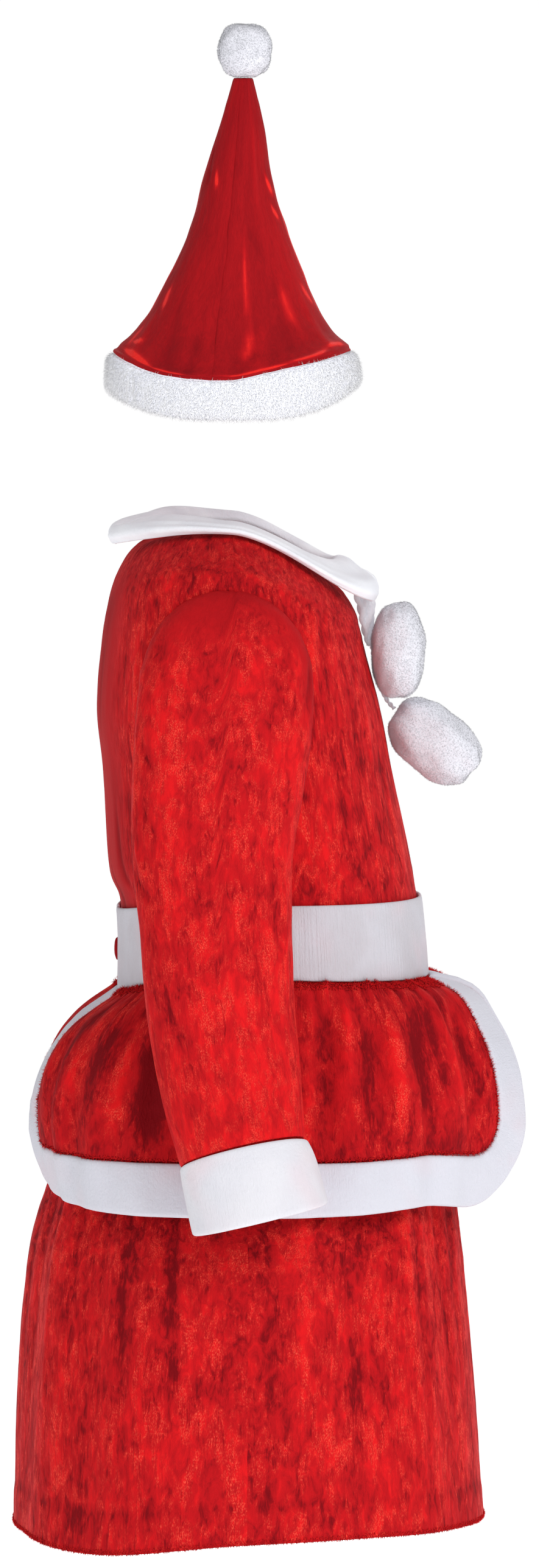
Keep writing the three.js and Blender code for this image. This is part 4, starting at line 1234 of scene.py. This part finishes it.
HAT = (170, 150)
HAT_HALFWAY = (120, 150)        # the size of a half at the middle of its height
hat_creases = [
    (30, 96, 22, 142, 2, 3.6, 0.8), (44, 70, 40, 130, 2, 4.0, -0.7),
    (64, 84, 66, 140, -2, 4.0, 0.5), (116, 92, 126, 142, 2, 3.6, 0.6),
    (138, 84, 150, 140, 2, 3.2, -0.7), (20, 60, 40, 76, 1, 3.0, -0.6),
    (60, 40, 80, 52, 2, 3.0, 0.5), (110, 30, 132, 46, 2, 3.0, -0.6),
    (40, 20, 36, 60, 1, 4.0, 0.5), (10, 112, 16, 146, 1, 3.0, -0.6),
    (160, 100, 158, 146, 1, 3.0, -0.8),
]
# Where the pile catches the light: broad bands low down, uprights and short diagonals.
hat_lights = {
    "front": [
        (4, 138, 40, 137, 2, 3.6, 1.7), (34, 134, 66, 126, 4, 3.2, 1.5),
        (62, 126, 84, 132, -3, 3.0, 1.3), (18, 66, 20, 104, 1, 1.6, 0.8),
        (20, 102, 14, 124, -1, 2.4, 0.9), (58, 42, 72, 50, 1, 2.0, 1.3),
        (60, 54, 74, 60, 1, 1.6, 1.6), (70, 86, 84, 96, 1, 2.4, 1.0),
        (46, 84, 52, 108, 1, 3.0, 0.7), (90, 30, 92, 120, 0, 2.6, 1.2),
        (120, 110, 150, 128, 2, 4.0, 1.4), (110, 50, 122, 60, 1, 2.2, 1.4),
    ],
    "back": [
        (108, 130, 140, 138, -3, 3.6, 1.7), (136, 138, 160, 141, 0, 2.6, 1.4),
        (98, 30, 97, 70, 1, 2.0, 1.0), (100, 70, 98, 112, 1, 2.4, 1.2),
        (138, 40, 148, 46, 1, 2.0, 1.7), (120, 86, 124, 98, 1, 2.4, 1.6),
        (112, 120, 122, 114, 1, 1.8, 1.4), (108, 104, 112, 128, 1, 2.4, 0.8),
        (20, 120, 60, 138, 2, 4.4, 1.4), (60, 50, 72, 60, 1, 2.2, 1.4),
    ],
}
HAT_RIPPLE = 0.55               # its seams and folded sides waver by this much


def hat_relief(name, seed):
    """The hat's creases and ripples, and the light on its pile painted into its colour as painted
    highlights.
    """
    base = relief_of(hat_creases, seed, 0.3, (9, 16), gain=0.35)

    def relief(across, down):
        out, light_and_mottle, calm = base(across, down)
        ripple = lumps(across, down, 26, 9, seed + 3) * HAT_RIPPLE * ease(down, 20, 60)
        return out + ripple, light_and_mottle + 0.9 * creases(hat_lights[name], across, down), calm
    return relief


def make_hat():
    return [cloth(
        f"hat_{name}_cloth", panel(hat, start, start + 180), HAT, 76, 84, HAT_VELVET, 1.5,
        hat_relief(name, seed), hat_velvet, "hat_velvet", spaced_as=HAT_HALFWAY)
        for name, start, seed in (("front", HAT_SEAM, 121), ("back", HAT_SEAM + 180, 131))]


# ---- Pile: fur, pompons and frayed edges -----------------------------------------------


class PileNodes(Nodes):
    """Fibres over a mesh, thickest where its attribute "pile" is 1. Each is a thin spike
    that stands out of the cloth, leans along Fall and at random by Spread, and bends."""

    INPUTS = {
        "Geometry": "Geometry", "Density": "Float", "Length": "Float", "Width": "Float",
        "Spread": "Float", "Bend": "Float", "Fall": "Vector", "Segments": "Int",
        "Seed": "Int", "Material": "Material",
    }

    def __init__(self):
        super().__init__(bpy.data.node_groups.new("pile", "GeometryNodeTree"))
        face = self.tree.interface
        for name, kind in self.INPUTS.items():
            face.new_socket(name, in_out="INPUT", socket_type="NodeSocket" + kind)
        face.new_socket("Geometry", in_out="OUTPUT", socket_type="NodeSocketGeometry")
        self.given = self.add("NodeGroupInput").outputs

    def marked(self, geometry, name, kind, value):
        mark = self.add("GeometryNodeStoreNamedAttribute",
                        {"data_type": kind, "domain": "POINT"}, Geometry=geometry, Name=name)
        self.put(next(i for i in mark.inputs if i.name == "Value" and i.enabled), value)
        return mark.outputs[0]

    def spots(self):
        """Where the fibres stand, and the way out of the cloth there."""
        given = self.given
        pile = self.add("GeometryNodeInputNamedAttribute", {"data_type": "FLOAT"}, Name="pile")
        found = self.add(
            "GeometryNodeDistributePointsOnFaces", Mesh=given["Geometry"], Seed=given["Seed"],
            Density=self.times(pile.outputs["Attribute"], given["Density"])).outputs
        return found["Points"], found["Normal"]

    def spike(self):
        """One fibre, a unit high, that bends aside more the higher up it is."""
        given = self.given
        cone = self.add(
            "GeometryNodeMeshCone", {"fill_type": "NGON"}, Vertices=3, Radius_Top=0.0,
            Radius_Bottom=0.5, Depth=1.0, Side_Segments=given["Segments"]).outputs["Mesh"]
        position = self.add("GeometryNodeInputPosition").outputs[0]
        up = self.add("ShaderNodeSeparateXYZ", _0=position).outputs["Z"]
        thin = self.reckon("DIVIDE", given["Length"], given["Width"])
        aside = self.times(self.times(up, up), self.times(thin, given["Bend"]))
        push = self.add("ShaderNodeCombineXYZ", X=aside).outputs[0]
        bent = self.add("GeometryNodeSetPosition", Geometry=cone, Offset=push).outputs[0]
        return self.marked(bent, "height", "FLOAT", up)

    def stance(self, normal):
        """How each fibre is turned, between its way out and its lean."""
        given = self.given
        stray = self.add("FunctionNodeRandomValue", {"data_type": "FLOAT_VECTOR"},
                         Min=(-1, -1, -1), Seed=given["Seed"]).outputs["Value"]
        lean = self.arrows("ADD", _1=given["Fall"],
                           _0=self.arrows("SCALE", _0=stray, Scale=given["Spread"]))
        stood = self.add("FunctionNodeAlignRotationToVector", {"axis": "Z"},
                         Vector=self.arrows("ADD", _0=lean, _1=normal)).outputs[0]
        return self.add("FunctionNodeAlignRotationToVector", {"axis": "X", "pivot_axis": "Z"},
                        Rotation=stood, Vector=lean).outputs[0]

    def size(self):
        given = self.given
        share = self.add("FunctionNodeRandomValue", {"data_type": "FLOAT"}, _2=0.6, _3=1.0,
                         Seed=self.plus(given["Seed"], 7)).outputs[1]
        return self.add("ShaderNodeCombineXYZ", X=given["Width"], Y=given["Width"],
                        Z=self.times(share, given["Length"])).outputs[0]


def pile_tree():
    nodes = PileNodes()
    spots, normal = nodes.spots()
    grown = nodes.add(
        "GeometryNodeInstanceOnPoints", Instance=nodes.spike(), Rotation=nodes.stance(normal),
        Scale=nodes.size(), Points=nodes.marked(spots, "lie", "FLOAT_VECTOR", normal))
    real = nodes.add("GeometryNodeRealizeInstances", _0=grown.outputs[0])
    dyed = nodes.add("GeometryNodeSetMaterial", _0=real.outputs[0],
                     Material=nodes.given["Material"])
    nodes.add("NodeGroupOutput", _0=dyed.outputs[0])
    return nodes.tree


fibre_tree = pile_tree()


def grow(name, ground, look, seed, density, length, width, spread=0.5, bend=0.2,
         fall=(0, 0, 0), segments=1):
    """A plain mesh of the fibres that stand on ground; density is per square millimetre and
    sizes are in millimetres."""
    values = {
        "Density": density * 1e6, "Length": length * MM, "Width": width * MM,
        "Spread": spread, "Bend": bend, "Fall": fall, "Segments": segments, "Seed": seed,
        "Material": look,
    }
    modifier = ground.modifiers.new("pile", "NODES")
    modifier.node_group = fibre_tree
    for item in fibre_tree.interface.items_tree:
        if item.in_out == "INPUT" and item.name in values:
            modifier[item.identifier] = values[item.name]
    graph = bpy.context.evaluated_depsgraph_get()
    mesh = bpy.data.meshes.new_from_object(ground.evaluated_get(graph))
    ground.modifiers.remove(modifier)
    mesh.name = name
    for layer in [a.name for a in mesh.attributes if a.name in ("light_and_mottle", "pile")]:
        mesh.attributes.remove(mesh.attributes[layer])
    return smooth_piece(mesh)


BALL_COLUMNS = 64
BALL_ROWS = 36


def ball(name, sizes, depth, look, slot, seed, lump=0.06, full=2):
    """The close heart of a pompon, depth in from its reach. sizes are its place, its three
    half sizes and its lean in radians; full is 2 for an ellipsoid and more for a fuller
    form, and lump is how uneven it is."""
    x, y, z, long, wide, high, lean = sizes
    around = BALL_COLUMNS
    rows = BALL_ROWS
    u, v = np.meshgrid(np.arange(around) / around, (np.arange(rows - 1) + 1) / rows)
    p = points(np.cos(2 * np.pi * u) * np.sin(np.pi * v),
               -np.sin(2 * np.pi * u) * np.sin(np.pi * v), np.cos(np.pi * v))
    p = np.concatenate([p.reshape(-1, 3), [(0, 0, 1), (0, 0, -1)]])
    p = p * (np.abs(p) ** full).sum(axis=1, keepdims=True) ** (-1 / full)
    offset = np.random.default_rng(seed).uniform(-9, 9, 3)
    swell = np.array([noise.noise(Vector(q * 1.8 + offset)) + 0.25
                      * noise.noise(Vector(q * 4 + offset)) for q in p])
    p = p * (1 - 0.3 * lump + lump * swell[:, None])
    p = p * (long - depth, wide - depth, high - depth)
    cos = math.cos(lean)
    sin = math.sin(lean)
    p = points(p[:, 0] * cos + p[:, 2] * sin, p[:, 1], p[:, 2] * cos - p[:, 0] * sin)
    return new_piece(name, p + (x, y, z), tube_faces(rows - 1, around), look, slot,
                     attributes={"pile": np.ones(len(p))})


POMPONS = {
    "hat_pom": (0.6, 0, 239, 13.8, 13.8, 13.6, 0),
    "pom_upper": (75.9, -8, -56, 13.8, 21, 24.2, 0),
    "pom_lower": (93.8, 6, -101.8, 25, 20, 17, 0.7),
}
POMPON_FULLNESS = 2.5
POM_PILE = 1.2
POM_DENSITY = {"hat_pom": 3.4, "pom_upper": 2.5, "pom_lower": 2.3}


def make_pompons():
    made = {}
    for k, (name, sizes) in enumerate(POMPONS.items()):
        heart = ball(f"{name}_heart", sizes, POM_PILE * 0.3, pompon_look, "pompon", 7 + k, 0.08,
                     POMPON_FULLNESS)
        hair = grow(f"{name}_yarn", heart, pompon_look, 17 + k, POM_DENSITY[name],
                    POM_PILE, 0.16, spread=1.3, bend=0.5)
        made[name] = (heart, hair)
    return made


BAND = (400, 21)
BAND_INSET = 2.4                # its cloth lies this far in from the reach of its fur


def make_band():
    base = lambda u, v: on_rings(hat_band, v, 360 * u + 180)
    inset = lambda u, v: base(u, v) - way_out(base, u, v, True) * BAND_INSET
    seams = [(40, -4, 44, 26, 0, 1.2, -1.0), (262, -4, 260, 26, 0, 1.2, -0.9)]
    band = cloth(
        "hat_band_cloth", inset, BAND, 160, 20, BAND_THICKNESS, 1.2,
        relief_of(seams, 141, 0.35, (7, 7), BAND[0]), fur_look, "fur", loop=True,
        pile=lambda across, down: np.ones(across.shape))
    hair = grow("hat_band_hair", band, fur_look, 23, 4.3, 2.9, 0.26, spread=0.75,
                bend=0.4, fall=(0, 0, -0.9))
    return band, hair


# ---- Knot, cord and back tab -----------------------------------------------------------

POM_CORD = [
    (61.1, 5.4, -42.2), (63.2, 16.8, -55), (65.8, 19.4, -70), (70.6, 14.6, -81.6),
    (74.3, 12.6, -85.9),
]
PLY_RADIUS = CORD_DIAMETER * 0.27
PLY_OFFSET = CORD_DIAMETER * 0.23
CORD_TWIST = 0.16               # turns a millimetre
STRAND_SIDES = 8


def smooth_route(stops, count):
    """A smooth line through the stops, by the centripetal Catmull-Rom rule."""
    stops = np.array(stops, float)
    ends = np.concatenate([[2 * stops[0] - stops[1]], stops, [2 * stops[-1] - stops[-2]]])
    route = []
    for k in range(1, len(ends) - 2):
        p0, p1, p2, p3 = ends[k - 1:k + 3]
        t1 = np.linalg.norm(p1 - p0) ** 0.5
        t2 = t1 + np.linalg.norm(p2 - p1) ** 0.5
        t3 = t2 + np.linalg.norm(p3 - p2) ** 0.5
        for t in np.linspace(t1, t2, count, endpoint=False):
            a1 = p0 + (p1 - p0) * t / t1
            a2 = p1 + (p2 - p1) * (t - t1) / (t2 - t1)
            a3 = p2 + (p3 - p2) * (t - t2) / (t3 - t2)
            b1 = a1 + (a2 - a1) * t / t2
            b2 = a2 + (a3 - a2) * (t - t1) / (t3 - t1)
            route.append(b1 + (b2 - b1) * (t - t1) / (t2 - t1))
    return np.array(route + [stops[-1]])


def strand(route, radius, twist, offset, start, taper=None):
    """A closed tube that winds round a route, offset from it, by twist turns a millimetre."""
    way = unit(np.gradient(route, axis=0))
    side = unit(np.cross(way, (0.31, 0.95, 0.05)))
    other = np.cross(way, side)
    gone = np.concatenate([[0], np.cumsum(np.linalg.norm(np.diff(route, axis=0), axis=1))])
    turn = start + 2 * np.pi * twist * gone
    centre = route + offset * (side * np.cos(turn)[:, None] + other * np.sin(turn)[:, None])
    size = radius * (taper(gone / gone[-1]) if taper else np.ones(len(route)))
    round_it = np.arange(STRAND_SIDES) * 2 * np.pi / STRAND_SIDES
    ring = (side[:, None] * np.cos(round_it)[:, None] + other[:, None] * np.sin(round_it)[:, None])
    p = (centre[:, None] + ring * size[:, None, None]).reshape(-1, 3)
    p = np.concatenate([p, centre[:1], centre[-1:]])
    return p, tube_faces(len(route), STRAND_SIDES)


def joined(parts):
    """Several meshes, each its points and faces, as one."""
    verts, faces, first = [], [], 0
    for p, f in parts:
        verts.append(p)
        faces += [tuple(i + first for i in face) for face in f]
        first += len(p)
    return np.concatenate(verts), faces


def make_cord():
    route = smooth_route(POM_CORD, 26)
    plies = [strand(route, PLY_RADIUS, CORD_TWIST, PLY_OFFSET, start)
             for start in (0, math.pi)]
    piece = new_piece("pom_cord_twist", *joined(plies), cord_look, "cord")
    return piece, route


KNOT_STRANDS = 9
KNOT_STRAND_RADIUS = 1.7


def make_knot():
    """The twisted ends that bunch at the throat under the collar and run down the chest."""
    parts = []
    for k in range(KNOT_STRANDS):
        aside = (k / (KNOT_STRANDS - 1) - 0.5) * 2
        ahead = 3.2 * math.cos(2.4 * aside)
        stops = [(57.6 + ahead, 6.5 * aside, -25.5), (59.4 + ahead, 7.6 * aside, -32),
                 (60.4 + 0.8 * ahead, 6.6 * aside, -39), (60.8 + 0.4 * ahead, 4.2 * aside, -47),
                 (62.0, 1.8 * aside, -54)]
        parts.append(strand(smooth_route(stops, 14), KNOT_STRAND_RADIUS, 0.09, 0.7, k * 1.9,
                            lambda share: 1 - 0.5 * share ** 2))
    return new_piece("tie_knot_twist", *joined(parts), cord_look, "cord")


def make_tab():
    return ball("back_tab_cloth", (-62.3, 0, -203.5, 1.6, 2.9, 5.8, 0), 0.1, velour_plain,
                "velour", 5)


# ---- Light and floor -------------------------------------------------------------------


def make_light(name, place, size, power):
    data = bpy.data.lights.new(name, "AREA")
    data.shape = "DISK"
    data.size = size
    data.energy = power
    lamp = in_scene(name, data)
    lamp.location = place
    lamp.rotation_euler = (Vector(AIM) - Vector(place)).to_track_quat("-Z", "Y").to_euler()


ROOM_LIGHT = 0.46
FLOOR_LIGHT = 0.58
FLOOR_HALF = 150
FLOOR_Z = -0.8


def make_stage():
    world = bpy.data.worlds.new("soft white room")
    bpy.context.scene.world = world
    world.use_nodes = True
    world.node_tree.nodes["Background"].inputs["Color"].default_value = (1, 1, 1, 1)
    world.node_tree.nodes["Background"].inputs["Strength"].default_value = ROOM_LIGHT
    look = Look("pale floor")
    look.finish(Base_Color=(0.95, 0.95, 0.95, 1), Roughness=1, Specular_IOR_Level=0,
                Emission_Color=(1, 1, 1, 1), Emission_Strength=FLOOR_LIGHT)
    mesh = bpy.data.meshes.new("floor")
    mesh.from_pydata([(x * FLOOR_HALF, y * FLOOR_HALF, FLOOR_Z)
                      for x, y in ((-1, -1), (1, -1), (1, 1), (-1, 1))], [], [(0, 1, 2, 3)])
    mesh.materials.append(look.material)
    in_scene("floor", mesh)
    make_light("key", (1.6, -2.6, 1.5), 1.6, 46)
    make_light("fill", (-1.4, -2.8, 0.4), 2.0, 8)
    make_light("behind", (0.4, 2.6, 1.8), 2.0, 18)
    bpy.context.scene.view_settings.view_transform = "Standard"


make_stage()
front, back_right, back_left = make_bodice()
sleeve_right, cuff_right, sleeve_left, cuff_left = make_sleeves()
belt = make_belt()
collar_right, collar_left = make_collar()
peplum_right, trim_right, peplum_left, trim_left = make_peplum()
skirt_front, skirt_back = make_skirt()
frayed = {name: grow(f"{name}_fray", piece, red_pile, 31 + k, 3.2, length, 0.4, 0.7)
          for k, (name, piece, length) in enumerate((
              ("peplum_right", peplum_right, 2.4), ("peplum_left", peplum_left, 2.4),
              ("skirt_front", skirt_front, 1.3), ("skirt_back", skirt_back, 1.3)))}
hat_front, hat_back = make_hat()
band, band_hair = make_band()
pompons = make_pompons()
pom_cord, cord_route = make_cord()
knot = make_knot()
tab = make_tab()

# ---- What each piece stands for --------------------------------------------------------

# For each sheet: its CAD piece, the made piece, the width and length that it was cut to in
# metres, the area of that cut in square metres where it isn't the whole rectangle, how it
# is held, and what it hangs from.
sheets = [
    ("bodice_front", front, (0.30, 0.22), 0.058, "hung", "collar_right_cloth"),
    ("bodice_back_right", back_right, (0.15, 0.22), 0.028, "hung", "collar_right_cloth"),
    ("bodice_back_left", back_left, (0.15, 0.22), 0.028, "hung", "collar_left_cloth"),
    ("sleeve_right", sleeve_right, (0.27, 0.27), 0.05, "hung", "bodice_front_cloth"),
    ("sleeve_left", sleeve_left, (0.27, 0.27), 0.05, "hung", "bodice_front_cloth"),
    ("cuff_right", cuff_right, (0.17, 0.035), None, "hung", "sleeve_right_cloth"),
    ("cuff_left", cuff_left, (0.17, 0.035), None, "hung", "sleeve_left_cloth"),
    ("belt", belt, (0.52, 0.041), None, "hung", "bodice_front_cloth"),
    ("collar_right", collar_right, (0.19, 0.04), 0.006, "folded", "bodice_front_cloth"),
    ("collar_left", collar_left, (0.19, 0.04), 0.006, "folded", "bodice_front_cloth"),
    ("peplum_right", peplum_right, (0.38, 0.085), 0.028, "gathered", "belt_cloth"),
    ("peplum_left", peplum_left, (0.38, 0.085), 0.028, "gathered", "belt_cloth"),
    ("peplum_trim_right", trim_right, (0.44, 0.03), 0.0125, "hung", "peplum_right_cloth"),
    ("peplum_trim_left", trim_left, (0.44, 0.03), 0.0125, "hung", "peplum_left_cloth"),
    ("skirt_front", skirt_front, (0.40, 0.28), 0.1, "gathered", "bodice_front_cloth"),
    ("skirt_back", skirt_back, (0.40, 0.28), 0.1, "gathered", "bodice_front_cloth"),
    ("hat_front", hat_front, (0.19, 0.16), 0.0125, "hung", "hat_band_cloth"),
    ("hat_back", hat_back, (0.19, 0.16), 0.0125, "hung", "hat_band_cloth"),
    ("hat_band", band, (0.40, 0.025), 0.0092, "hung", "hat_front_cloth"),
]
pile_on = {"hat_band": band_hair, **frayed}
for node, piece, flat, area, held, carrier in sheets:
    going_along = [pile_on[node]] if node in pile_on else []
    for made in (piece, *going_along):
        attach(made, "root")
    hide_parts(node)
for node, (heart, hair) in pompons.items():
    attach(heart, "root")
    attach(hair, "root")
    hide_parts(node)
for node, piece in (("tie_knot", knot), ("back_tab", tab), ("pom_cord", pom_cord)):
    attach(piece, "root")
    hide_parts(node)
